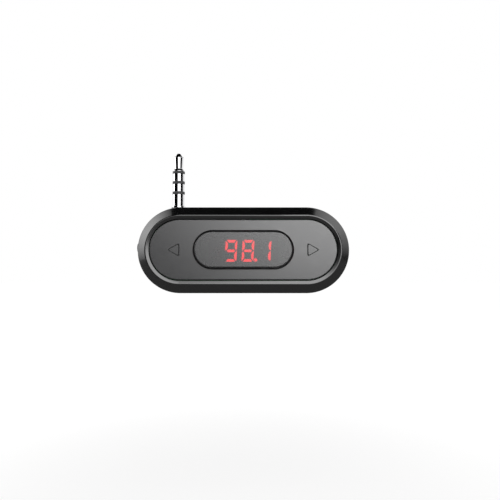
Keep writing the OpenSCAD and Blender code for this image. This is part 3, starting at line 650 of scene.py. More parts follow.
@dataclass(frozen=True)
class Moulding:
    """Moulded plastic, from piano black to fine matt."""

    name: str
    colour: Colour
    roughness: float
    grain: float = 0.06 * MM
    grain_depth: float = 0.0006 * MM
    ripple: float = 3.0 * MM
    ripple_depth: float = 0.002 * MM
    rub: float = 0.04
    dust: float = 0.02
    gloss: float = 0.5
    patch: float = 7.0 * MM
    hair_len: float = 6.0 * MM
    cross_len: float = 5.0 * MM
    hair_gap: float = 0.5 * MM
    hair_w: float = 0.05 * MM
    speck_gap: float = 1.4 * MM
    dust_colour: Colour = (0.5, 0.5, 0.5)

    def build(self) -> bpy.types.Material:
        """Mixes slow ripple, fine grain, rubbed patches, hairlines and specks of dust.

        Returns:
            The material.
        """
        graph = Graph(self.name)
        patches = graph.noise(self.patch, 3.0)
        along = Vector((self.hair_len, self.hair_w, self.hair_gap))
        hairs = graph.noise(along, 1.0).ramp(0.66, 0.72)
        upright = Vector((self.hair_w, self.hair_gap, self.cross_len))
        cross = graph.noise(upright, 1.0).ramp(0.68, 0.74)
        specks = 1 - graph.cells(self.speck_gap).ramp(0.02, 0.06)
        shade = graph.mottle(patches, self.colour, 0.12)
        dusted = graph.blend(specks * self.dust, shade, self.dust_colour)
        rough = self.roughness + (patches - 0.5) * self.rub * 2 + (hairs + cross) * self.rub * 0.5
        slow = graph.bump(graph.noise(self.ripple, 1.0), self.ripple_depth)
        fine = graph.bump(graph.noise(self.grain, 2.0), self.grain_depth, slow)
        return graph.finish(
            Base_Color=dusted, Roughness=rough, Normal=fine, Specular_IOR_Level=self.gloss,
        )


@dataclass(frozen=True)
class SatinPlate:
    """The rocker plate: dark grey plastic with a fine pearled satin surface."""

    face: float
    rim: float
    mark_x: float
    mark_reach: float = 1.8 * MM
    name: str = "satin_plate"
    colour: Colour = (0.035, 0.035, 0.036)
    # Painted shade: the triangles' grooves and the pivot pins are coloured near black and made
    # rougher.
    painted_shade: Colour = (0.002, 0.002, 0.002)
    roughness: float = 0.24
    painted_shade_roughness: float = 0.6
    pearl: float = 0.05 * MM
    pearl_depth: float = 0.0004 * MM
    ripple: float = 9.0 * MM
    ripple_depth: float = 0.003 * MM

    def painted_shade_places(self, graph: Graph) -> Wire:
        """Finds where shade is painted near black: the triangles' grooves and the pivot pins.

        Args:
            graph: the node tree.

        Returns:
            1 where shade is painted, else 0.
        """
        away = abs(abs(graph.axis("X")) - self.mark_x)
        sunk = graph.axis("Y") > self.face + 2 * SKIN
        pins = abs(graph.axis("Z")) > self.rim
        return sunk * (1 - (away > self.mark_reach)) + pins

    def build(self) -> bpy.types.Material:
        """Mixes fine pearl grain, slow shading, faint finger rub, and painted shade in the grooves
        and on the pins.

        Returns:
            The material.
        """
        graph = Graph(self.name)
        painted_shade = self.painted_shade_places(graph)
        pearl = graph.noise(self.pearl, 3.0, 0.7)
        slow = graph.noise(self.ripple, 2.0)
        finger = Vector((3.0 * MM, 3.0 * MM, 1.4 * MM))
        rubbed = graph.noise(finger, 4.0).ramp(0.45, 0.75)
        plastic = graph.mottle(pearl * 0.5 + slow * 0.5, self.colour, 0.08)
        # Painted shade: the grooves and the pins take the near-black colour.
        shade = graph.blend(painted_shade, plastic, self.painted_shade)
        rough = self.roughness + (pearl - 0.5) * 0.06 - rubbed * 0.05 + painted_shade * self.painted_shade_roughness
        normal = graph.bump(pearl, self.pearl_depth, graph.bump(slow, self.ripple_depth))
        return graph.finish(
            Base_Color=shade, Roughness=rough, Normal=normal, Specular_IOR_Level=1.0,
        )


@dataclass(frozen=True)
class SmokedLens:
    """The display window: smoked plastic, glossy and partly clear, with a clear back."""

    back: float
    name: str = "smoked_lens"
    colour: Colour = (0.04, 0.04, 0.041)
    roughness: float = 0.27
    alpha: float = 0.88
    flow_len: float = 14.0 * MM
    flow_w: float = 4.0 * MM
    flow_depth: float = 0.001 * MM
    touch: float = 2.2 * MM

    def build(self) -> bpy.types.Material:
        """Mixes faint flow lines and touch marks.

        Returns:
            The material.
        """
        graph = Graph(self.name)
        flow = graph.noise(Vector((self.flow_len, self.flow_w, self.flow_w)), 2.0)
        touch = graph.noise(self.touch, 5.0, 0.6).ramp(0.5, 0.8)
        rough = self.roughness + touch * 0.02
        normal = graph.bump(flow, self.flow_depth)
        clear = (abs(graph.axis("Y") - self.back) > SKIN) * self.alpha
        return graph.finish(
            Base_Color=graph.mottle(flow, self.colour, 0.05), Roughness=rough, Normal=normal,
            Alpha=clear, Specular_IOR_Level=1.0,
        )


@dataclass(frozen=True)
class Plating:
    """Bright plated metal with fine lines from turning or drawing."""

    name: str
    colour: Colour
    roughness: float
    lines: Vector = field(default_factory=lambda: Vector((0.4 * MM, 0.4 * MM, 0.02 * MM)))
    line_depth: float = 0.0002 * MM
    cloud: float = 1.6 * MM
    tarnish: float = 0.25
    tarnished: float = 0.72

    def build(self) -> bpy.types.Material:
        """Mixes the lines with faint cloudy tarnish.

        Returns:
            The material.
        """
        graph = Graph(self.name)
        lines = graph.noise(self.lines, 2.0)
        cloud = graph.noise(self.cloud, 4.0, 0.6).ramp(0.45, 0.8)
        shade = graph.blend(cloud * self.tarnish, self.colour, tint(self.colour, self.tarnished))
        rough = self.roughness + (lines - 0.5) * 0.06 + cloud * 0.05
        normal = graph.bump(lines, self.line_depth)
        return graph.finish(Base_Color=shade, Roughness=rough, Normal=normal, Metallic=1.0)


@dataclass(frozen=True)
class LitSegment:
    """A lit display segment: red diffuser plastic with light behind it."""

    name: str = "lit_segment"
    colour: Colour = (1.0, 0.005, 0.012)
    resin: Colour = (0.6, 0.1, 0.1)
    strength: float = 7.2
    grit: float = 0.5 * MM

    def build(self) -> bpy.types.Material:
        """Mottles the glow as the filled resin of a diffuser does.

        Returns:
            The material.
        """
        graph = Graph(self.name)
        grit = graph.noise(self.grit, 3.0)
        red, green, blue = self.colour
        deep, pale = ((red, green * k, blue * k) for k in (0.85, 1.2))
        return graph.finish(
            Base_Color=self.resin, Roughness=0.4 + grit * 0.1,
            Emission_Color=graph.blend(grit, deep, pale), Emission_Strength=self.strength,
        )


@dataclass(frozen=True)
class SolderMask:
    """A printed board: green mask over copper tracks."""

    name: str = "solder_mask"
    mask: Colour = (0.02, 0.14, 0.06)
    track: Colour = (0.05, 0.24, 0.1)
    track_gap: float = 2.6 * MM
    track_h: float = 0.03 * MM
    weave: float = 0.4 * MM

    def build(self) -> bpy.types.Material:
        """Lays tracks of lighter green over the mask, slightly raised.

        Returns:
            The material.
        """
        graph = Graph(self.name)
        size = Vector((self.track_gap, self.track_gap, self.track_gap))
        settings = {"distance": "MANHATTAN", "feature": "F2"}
        spread = {"Vector": graph.place(size), "Scale": 1.0}
        ground = graph.node("ShaderNodeTexVoronoi", settings, spread, "Distance").ramp(0.62, 0.66)
        weave = graph.noise(self.weave, 2.0)
        shade = graph.blend(ground * 0.8 + weave * 0.2, self.mask, self.track)
        normal = graph.bump(ground, self.track_h)
        return graph.finish(Base_Color=shade, Roughness=0.32 + weave * 0.1, Normal=normal)


@dataclass(frozen=True)
class Banded:
    """A small part with a body and metal or wound bands, told apart by a distance.

    The distance is measured along one axis from the part's middle.
    """

    name: str
    body: Colour
    band: Colour
    axis: str
    middle: float
    edge: float
    outside: bool = True
    turns: float = 0.0
    grit: float = 0.12 * MM
    grit_depth: float = 0.01 * MM

    def build(self) -> bpy.types.Material:
        """Colours the body and its bands, and winds the bands where turns says how closely.

        Returns:
            The material.
        """
        graph = Graph(self.name)
        away = abs(graph.axis(self.axis) - self.middle)
        mask = away > self.edge
        if not self.outside:
            mask = 1 - mask
        grit = graph.noise(self.grit, 3.0)
        shade = graph.blend(mask, graph.mottle(grit, self.body, 0.15), self.band)
        rough = 0.55 + (grit - 0.5) * 0.15 - mask * 0.25
        relief = grit
        if self.turns > 0:
            wound = graph.axis(self.axis) / self.turns
            ridges = graph.node("ShaderNodeMath", {"operation": "PINGPONG"}, {0: wound, 1: 0.5})
            relief = ridges * mask * 2 + grit * 0.2
        normal = graph.bump(relief, self.grit_depth)
        return graph.finish(
            Base_Color=shade, Roughness=rough, Metallic=mask * 0.9, Normal=normal,
        )


@dataclass(frozen=True)
class Foil:
    """The aluminium pouch of the battery cell, slightly crinkled."""

    name: str = "cell_foil"
    colour: Colour = (0.6, 0.62, 0.65)
    crinkle: float = 2.5 * MM
    crinkle_depth: float = 0.12 * MM
    grain: float = 0.25 * MM
    grain_depth: float = 0.006 * MM

    def build(self) -> bpy.types.Material:
        """Mixes broad crinkles and a fine embossed grain.

        Returns:
            The material.
        """
        graph = Graph(self.name)
        crinkle = graph.noise(self.crinkle, 4.0, 0.6)
        grain = graph.cells(self.grain)
        shade = graph.blend(crinkle, tint(self.colour, 0.85), self.colour)
        slow = graph.bump(crinkle, self.crinkle_depth)
        normal = graph.bump(grain, self.grain_depth, slow)
        rough = 0.3 + crinkle * 0.15
        return graph.finish(Base_Color=shade, Roughness=rough, Metallic=0.85, Normal=normal)


@dataclass(frozen=True)
class Foam:
    """Pale closed-cell foam tape."""

    name: str = "foam_tape"
    colour: Colour = (0.75, 0.74, 0.68)
    roughness: float = 0.85
    pit: float = 0.18 * MM
    pit_depth: float = 0.03 * MM

    def build(self) -> bpy.types.Material:
        """Pits the foam with open cells.

        Returns:
            The material.
        """
        graph = Graph(self.name)
        pits = graph.cells(self.pit)
        shade = graph.blend(pits, tint(self.colour, 0.8), self.colour)
        normal = graph.bump(pits, self.pit_depth)
        return graph.finish(Base_Color=shade, Roughness=self.roughness, Normal=normal)


class Finishes:
    """Every finish of the transmitter, built once and then shared."""

    def __init__(self) -> None:
        """Builds the finishes; those of the plate and the window know where these stand."""
        fine, deep = 0.001 * MM, 0.002 * MM
        self.front = Moulding(
            "case_front", (0.0015, 0.0015, 0.0016), 0.17, rub=0.02, gloss=1.0, dust=0.002,
        ).build()
        self.rear = Moulding(
            "case_rear", (0.006, 0.006, 0.0063), 0.34, grain_depth=fine, gloss=0.9, dust=0.01,
        ).build()
        # The plate's finish paints shade on its grooves and pins, so it is told where they stand.
        low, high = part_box("rocker_plate")
        rim = high.z - RockerPlate.pin_len + SKIN
        self.plate = SatinPlate(low.y, rim, RockerPlate.mark_x).build()
        lens_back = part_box("display_window")[0].y + DisplayWindow.front_t
        self.window = SmokedLens(lens_back).build()
        self.lit = LitSegment().build()
        self.unlit = Moulding("led_dark", (0.08, 0.03, 0.03), 0.4).build()
        self.inner = Moulding("inner_plastic", (0.02, 0.02, 0.021), 0.5, grain_depth=deep).build()
        self.knob = Moulding("knob", (0.03, 0.03, 0.032), 0.42, grain_depth=deep).build()
        self.swivel = Moulding("swivel", (0.016, 0.016, 0.017), 0.3).build()
        self.insulator = Moulding("insulator", (0.045, 0.045, 0.047), 0.45, gloss=0.3).build()
        self.red_wire = Moulding("red_wire", (0.5, 0.02, 0.02), 0.4).build()
        self.green_wire = Moulding("green_wire", (0.04, 0.2, 0.06), 0.4).build()
        self.black_wire = Moulding("black_wire", (0.008, 0.008, 0.008), 0.4).build()
        self.plug = Plating("plug_metal", (0.86, 0.86, 0.87), 0.07).build()
        drawn = Vector((0.8 * MM, 0.03 * MM, 0.03 * MM))
        self.socket = Plating("socket_metal", (0.8, 0.8, 0.81), 0.16, drawn).build()
        self.steel = Plating("spring_steel", (0.6, 0.6, 0.6), 0.25, drawn).build()
        self.tinned = Plating("tinned_metal", TIN, 0.35, drawn).build()
        self.gold = Plating("gold_contact", (0.9, 0.66, 0.28), 0.2, drawn).build()
        self.board = SolderMask().build()
        self.foil = Foil().build()
        self.foam = Foam().build()


def seat(
    piece: bpy.types.Object, name: str, body: Body, slot: str, finish: bpy.types.Material,
    *nodes: str,
) -> bpy.types.Object:
    """Names and dresses a new piece, and lets it stand for its CAD nodes.

    Args:
        piece: the finished object.
        name: its name.
        body: the body it rides on.
        slot: the record's material slot; not used.
        finish: its material.
        *nodes: the CAD nodes it stands for.

    Returns:
        The piece.
    """
    piece.name = name
    piece.data.name = name
    piece.data.materials.clear()
    piece.data.materials.append(finish)
    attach(piece, body.value)
    if nodes:
        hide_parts(*nodes)
    LOG.info("%s: %d faces, on %s", name, len(piece.data.polygons), body.value)
    return piece


@dataclass
class Case:
    """The two halves of the case, with the groove, the switch's recess and the socket's opening."""

    finishes: Finishes
    travel: float
    wall: float = 1.2 * MM
    back_chamfer: Point = (2.0 * MM, 1.7 * MM)
    front_chamfer: Point = (2.5 * MM, 2.4 * MM)
    lip: Point = (0.95 * MM, 0.35 * MM)
    rim_depth: float = 1.5 * MM
    edge_r: float = 0.3 * MM
    crest_r: float = 0.28 * MM
    seam_groove: float = 0.12 * MM
    tongue_h: float = 0.8 * MM
    tongue_t: float = 0.55 * MM
    tongue_gap: float = 0.08 * MM
    swivel_r: float = 2.0 * MM
    swivel_gap: float = 0.3 * MM
    side_gap: float = 0.2 * MM
    flat_depth: float = 0.2 * MM
    nail_gap: float = 1.3 * MM
    groove_wall: float = 0.8 * MM
    groove_flare: float = 0.25 * MM
    groove_root: float = 0.24 * MM
    lead_slot: Point = (1.6 * MM, 0.4 * MM)
    recess_r: float = 1.7 * MM
    recess_depth: float = 1.0 * MM
    recess_step: float = 0.25 * MM
    recess_root: float = 0.1 * MM
    slot_half: float = 0.65 * MM
    socket_gap: float = 0.2 * MM

    def __post_init__(self) -> None:
        """Takes the case's outline from the frame."""
        rear_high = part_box("rear_shell")[1]
        front_low, front_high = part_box("front_shell")
        plug_low, plug_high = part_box("plug_swivel")
        self.radius = rear_high.z
        self.half = rear_high.x - self.radius
        self.seam = -front_high.y
        self.crest = -front_low.y
        self.front_shoulder = self.crest - self.front_chamfer[1]
        self.inner = self.radius - self.wall
        self.swivel_half = (plug_high.y - plug_low.y) / 2
        middle = (plug_low.x + plug_high.x) / 2
        self.pivot = Vector((middle, plug_low.z + self.swivel_r - self.flat_depth, self.seam))
        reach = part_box("plug_tip")[1].z - self.pivot.y + self.nail_gap
        room, side = self.swivel_r + self.swivel_gap, self.swivel_half + self.side_gap
        self.groove_low = Vector((middle - room, self.pivot.y - room, self.seam - side))
        self.groove_high = Vector((middle + reach, self.radius, self.seam + side))
        knob_low, knob_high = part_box("switch_knob")
        self.recess_y = (knob_low.z + knob_high.z) / 2 - self.travel / 2

    def inward(self, chamfer: Point) -> float:
        """How far a chamfer's corner moves in depth where its surface is drawn in by the wall."""
        width, depth = chamfer
        return self.wall * (math.hypot(width, depth) - depth) / width

    def rear_profile(self) -> list[Point]:
        """The rear half's profile, from the middle of the back and round to the middle inside.

        Returns:
            Its points, as distance from the middle line and depth.
        """
        width, depth = self.back_chamfer
        slope = math.hypot(width, depth)
        flat = self.radius - width - self.wall * (slope - width) / depth
        tongue_r = self.inner + self.tongue_t
        top = self.seam + self.tongue_h
        groove = self.seam_groove
        return [
            (0, 0), (self.radius - width, 0), (self.radius, depth),
            (self.radius, self.seam - groove), (self.radius - groove, self.seam),
            (tongue_r, self.seam), (tongue_r, top), (self.inner, top),
            (self.inner, depth + self.inward(self.back_chamfer)), (flat, self.wall), (0, self.wall),
        ]

    def front_profile(self) -> list[Point]:
        """The front half's profile, a closed loop.

        Returns:
            Its points, as distance from the middle line and depth.
        """
        width, depth = self.front_chamfer
        rim = self.crest - self.rim_depth
        opening = self.radius - width - self.lip[0]
        shift = self.inward(self.front_chamfer)
        slope_r = self.inner - (rim - self.front_shoulder + shift) * width / depth
        rebate_r = self.inner + self.tongue_t + self.tongue_gap
        rebate = self.seam + self.tongue_h + self.tongue_gap
        groove = self.seam_groove
        return [
            (self.radius - groove, self.seam), (self.radius, self.seam + groove),
            (self.radius, self.front_shoulder), (self.radius - width, self.crest),
            (opening, self.crest - self.lip[1]), (opening, rim), (slope_r, rim),
            (self.inner, self.front_shoulder - shift), (self.inner, rebate),
            (rebate_r, rebate), (rebate_r, self.seam),
        ]

    def stiffen(self, shell: Bench, low: float, high: float) -> None:
        """Adds the groove's walls and the thick wall behind the switch.

        Args:
            shell: the half of the case.
            low: the lowest depth that this half reaches.
            high: the highest depth that this half reaches.
        """
        wall, start, end = self.groove_wall, self.groove_low, self.groove_high
        skin = self.inner + self.groove_root
        foot = Vector((start.x - wall, start.y - wall, max(low, start.z - wall)))
        top = Vector((end.x + wall, skin, min(high, end.z + wall)))
        shell.combine(Bench.block(foot, top), Cut.ADD)
        reach = self.travel / 2 + self.recess_r + self.wall
        deep = self.recess_r + self.wall
        floor = -self.half - self.radius + self.recess_depth
        root = floor + self.recess_root
        foot = Vector((root, self.recess_y - reach, max(low, self.seam - deep)))
        top = Vector((floor + self.wall, self.recess_y + reach, min(high, self.seam + deep)))
        shell.combine(Bench.block(foot, top), Cut.ADD)

    def groove_cutter(self) -> Bench:
        """The plug's groove, flared at its mouth.

        Returns:
            The cutter.
        """
        flare = self.groove_flare
        low, high = self.groove_low, self.groove_high
        neck = high.y - flare
        cutter = Bench.block(low, Vector((high.x, neck, high.z)))
        foot = Vector((low.x, neck - flare, low.z))
        top = Bench.block(foot, Vector((high.x, high.y + flare, high.z)))
        top.pick(Pick.FACES, lambda co: co.y > high.y)
        middle = (low + high) / 2
        size = high - low
        grow = [(length + 4 * flare) / length for length in size]
        bpy.ops.transform.resize(value=(grow[0], 1, grow[2]), center_override=middle)
        return cutter.combine(top, Cut.ADD)

    def stadium(self, radius: float, start: float, end: float) -> Bench:
        """A rounded slot cutter at the left end whose long way runs up the case.

        Args:
            radius: the radius of its ends.
            start: its outer end along X.
            end: its inner end along X.

        Returns:
            The cutter.
        """
        reach = self.travel / 2 + radius
        ends = ((-reach, -radius), (reach, -radius), (reach, radius), (-reach, radius))
        outline = rounded([(y, z, radius) for y, z in ends], FINE_STEPS // 2)
        points = [Vector((start, self.recess_y + y, self.seam + z)) for y, z in outline]
        return Bench.pressed(points, RIGHT * (end - start))

    def open_up(self, shell: Bench) -> None:
        """Cuts the groove, the switch's recess and the socket's opening.

        Args:
            shell: the half of the case.
        """
        shell.combine(self.groove_cutter(), Cut.REMOVE)
        end = -self.half - self.radius
        floor = end + self.recess_depth
        shell.combine(self.stadium(self.recess_r, end - MM, floor), Cut.REMOVE)
        step = self.recess_step
        shell.combine(self.stadium(self.recess_r + step, end - MM, end + 2 * step), Cut.REMOVE)
        slot = self.slot_half
        reach = self.travel / 2 + slot
        foot = Vector((floor - step, self.recess_y - reach, self.seam - slot))
        top = Vector((floor + 2 * self.wall, self.recess_y + reach, self.seam + slot))
        shell.combine(Bench.block(foot, top), Cut.REMOVE)
        opening = socket_cutter(self.socket_gap, self.half, self.half + self.radius + MM)
        shell.combine(opening, Cut.REMOVE)

    def rear(self) -> bpy.types.Object:
        """Builds the rear half, with the slot that the plug's wires pass through.

        Returns:
            The finished piece.
        """
        shell = Bench.swept(self.half, self.rear_profile(), False)
        width, depth = self.back_chamfer
        shell.bevel_ring(self.half, self.radius - width, 0, self.edge_r)
        shell.bevel_ring(self.half, self.radius, depth, self.edge_r)
        self.stiffen(shell, 0, self.seam)
        self.open_up(shell)
        half_w, half_h = self.lead_slot
        drop, wall = self.groove_low.y, self.groove_wall
        middle = self.seam - 2 * self.swivel_half / 3
        foot = Vector((self.pivot.x - half_w, drop - 2 * wall, middle - half_h))
        top = Vector((self.pivot.x + half_w, drop + wall, middle + half_h))
        shell.combine(Bench.block(foot, top), Cut.REMOVE)
        finish = self.finishes.rear
        return seat(shell.stand(), "rear_cover", Body.CASE, "case_rear", finish, "rear_shell")

    def front(self) -> bpy.types.Object:
        """Builds the front half with its chamfer and lip.

        Returns:
            The finished piece.
        """
        shell = Bench.swept(self.half, self.front_profile(), True)
        shell.bevel_ring(self.half, self.radius, self.front_shoulder, self.edge_r)
        crest_r = self.radius - self.front_chamfer[0]
        shell.bevel_ring(self.half, crest_r, self.crest, self.crest_r)
        self.stiffen(shell, self.seam, self.crest)
        self.open_up(shell)
        finish = self.finishes.front
        return seat(shell.stand(), "front_cover", Body.CASE, "case_front", finish, "front_shell")


def socket_outline(grow: float, x: float) -> list[Vector]:
    """The charging socket's outline in the plane of the case's end.

    Args:
        grow: how far it is drawn outside the metal shell's own outline.
        x: the plane's place.

    Returns:
        The outline, its narrow side towards the rear.
    """
    low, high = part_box("usb_shell")
    across, thick = (high.z - low.z) / 2 + grow, (high.y - low.y) / 2 + grow
    slant = (high.y - low.y) / 3
    middle = -(high.y + low.y) / 2
    round_r = SOCKET_R + grow
    corners = [
        (-across, thick, round_r), (across, thick, round_r), (across, slant - thick, round_r / 2),
        (across - slant, -thick, round_r / 2), (slant - across, -thick, round_r / 2),
        (-across, slant - thick, round_r / 2),
    ]
    return [Vector((x, y, middle + z)) for y, z in rounded(corners, SOCKET_STEPS)]


def socket_cutter(grow: float, start: float, end: float) -> Bench:
    """A cutter along X with the socket's outline."""
    return Bench.pressed(socket_outline(grow, start), RIGHT * (end - start))


@dataclass
class RockerPlate:
    """The long plate that tilts to tune, with an engraved triangle at each end.

    A triangle's line is what is left of its groove round the core. Both give their inset and
    draft in widths of the line, and their lower and upper end in depths of it.
    """

    finishes: Finishes
    thickness: float = 1.6 * MM
    edge_r: float = 0.28 * MM
    mouth_r: float = 0.18 * MM
    mouth_steps: int = 3
    window_gap: float = 0.4 * MM
    flange_w: float = 0.6 * MM
    mark_w: float = 3.1 * MM
    mark_h: float = 3.35 * MM
    mark_line: float = 0.32 * MM
    mark_depth: float = 0.2 * MM
    mark_r: float = 0.45 * MM
    mark_x: float = 19.05 * MM
    mark_groove: tuple[float, float, float, float] = (0.45, -0.585, -1.0, 0.3)
    mark_core: tuple[float, float, float, float] = (0.415, 0.855, -1.3, 0.6)
    pin_r: float = 0.45 * MM
    pin_len: float = 0.9 * MM
    foot_r: float = 0.9 * MM

    def triangle(self, side: int, inset: float, draft: float, low: float, high: float) -> Bench:
        """A triangular prism that points away from the window, with sloping sides.

        Args:
            side: -1 for the left triangle and 1 for the right one.
            inset: how far its sides are drawn in where it starts.
            draft: how much further they are drawn in where it ends.
            low: where it starts in depth.
            high: where it ends in depth.

        Returns:
            The prism.
        """
        w, h, r = self.mark_w / 2 - self.mark_r, self.mark_h / 2 - self.mark_r, self.mark_r
        centres = [Vector((w, 0)), Vector((-w, h)), Vector((-w, -h))]
        foot, top = (
            rounded([(p.x, p.y, s) for p in self.offset(centres, s)], FINE_STEPS // 2)
            for s in (r - inset, r - (inset + draft))
        )
        outline = [Vector((side * (self.mark_x + x), y, low)) for x, y in foot]
        prism = Bench.pressed(outline, FORWARD * (high - low))
        (foot_base, foot_apex), (top_base, top_apex) = (
            (min(x for x, _ in corners), max(x for x, _ in corners)) for corners in (foot, top)
        )
        share = (top_apex - top_base) / (foot_apex - foot_base)
        centre = (top_base - share * foot_base) / (1 - share)
        prism.pick(Pick.FACES, lambda co: abs(co.z - high) < NEAR)
        middle = Vector((side * (self.mark_x + centre), 0, 0))
        bpy.ops.transform.resize(value=(share, share, 1), center_override=middle)
        return prism

    @staticmethod
    def offset(corners: Sequence[Vector], distance: float) -> list[Vector]:
        """Moves a triangle's sides outwards.

        Args:
            corners: the triangle's corners.
            distance: how far the sides move.

        Returns:
            The new corners.
        """
        moved = []
        for i, here in enumerate(corners):
            u = (corners[i - 1] - here).normalized()
            v = (corners[(i + 1) % len(corners)] - here).normalized()
            moved.append(here - (u + v).normalized() * distance / math.sin(u.angle(v) / 2))
        return moved

    def build(self) -> bpy.types.Object:
        """Builds the plate, its opening, triangles, pivot pins and feet.

        Returns:
            The finished piece.
        """
        low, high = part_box("rocker_plate")
        window_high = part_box("display_window")[1]
        foot_end, crest = -high.y, -low.y
        back = crest - self.thickness
        plate_r = high.z - self.pin_len
        half = high.x - plate_r
        plate = Bench.swept(half, [(0, back), (plate_r, back), (plate_r, crest), (0, crest)], False)
        plate.bevel_ring(half, plate_r, crest, self.edge_r)
        opening_r = window_high.z - self.flange_w + self.window_gap
        window_half = window_high.x - window_high.z
        mouth_r = opening_r + self.mouth_r
        shoulder = crest - self.mouth_r
        mouth = Bench.swept(
            window_half,
            [(0, back - OVER), (opening_r, back - OVER), (opening_r, shoulder), (mouth_r, crest),
                (mouth_r, crest + OVER), (0, crest + OVER)],
            False,
        )
        mouth.bevel_ring(window_half, opening_r, shoulder, self.mouth_r / 2, self.mouth_steps)
        plate.combine(mouth, Cut.REMOVE)
        depth, line = self.mark_depth, self.mark_line
        for side in (-1, 1):
            groove, core = (
                self.triangle(
                    side, inset * line, draft * line, crest + foot * depth, crest + end * depth,
                )
                for inset, draft, foot, end in (self.mark_groove, self.mark_core)
            )
            plate.combine(groove.combine(core, Cut.REMOVE), Cut.REMOVE)
            foot_at = Vector((side * self.mark_x, 0, foot_end))
            plate.combine(Bench.rod(foot_at, FORWARD, self.foot_r, back - foot_end + OVER), Cut.ADD)
            pin_at = Vector((0, side * (plate_r - OVER), back + self.pin_r))
            pin = Bench.rod(pin_at, UP * side, self.pin_r, high.z - plate_r + OVER)
            plate.combine(pin, Cut.ADD)
        finish = self.finishes.plate
        return seat(plate.stand(), "tuning_plate", Body.ROCKER, "plate", finish, "rocker_plate")


@dataclass
class DisplayWindow:
    """The smoked window, which is also a key, with its skirt, stop flange and feet."""

    finishes: Finishes
    front_t: float = 1.3 * MM
    skirt_t: float = 0.9 * MM
    flange_w: float = 0.6 * MM
    flange_t: float = 0.55 * MM
    edge_r: float = 0.3 * MM
    foot_h: float = 0.49 * MM

    def build(self) -> bpy.types.Object:
        """Builds the window.

        Returns:
            The finished piece.
        """
        low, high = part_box("display_window")
        front, foot = -low.y, -high.y
        flange_r = high.z
        half = high.x - flange_r
        radius = flange_r - self.flange_w
        inner = radius - self.skirt_t
        back = foot + self.foot_h
        lens_back, flange = front - self.front_t, back + self.flange_t
        window = Bench.swept(
            half,
            [(0, lens_back), (inner, lens_back), (inner, back), (flange_r, back),
                (flange_r, flange), (radius, flange), (radius, front), (0, front)],
            False,
        )
        window.bevel_ring(half, radius, front, self.edge_r)
        for side in (-1, 1):
            leg_at = Vector((side * (half + (inner + radius) / 2), 0, foot))
            leg = Bench.rod(leg_at, FORWARD, self.skirt_t / 2, self.foot_h + self.flange_t / 2)
            window.combine(leg, Cut.ADD)
        finish = self.finishes.window
        return seat(window.stand(), "window_key", Body.WINDOW, "window", finish, "display_window")


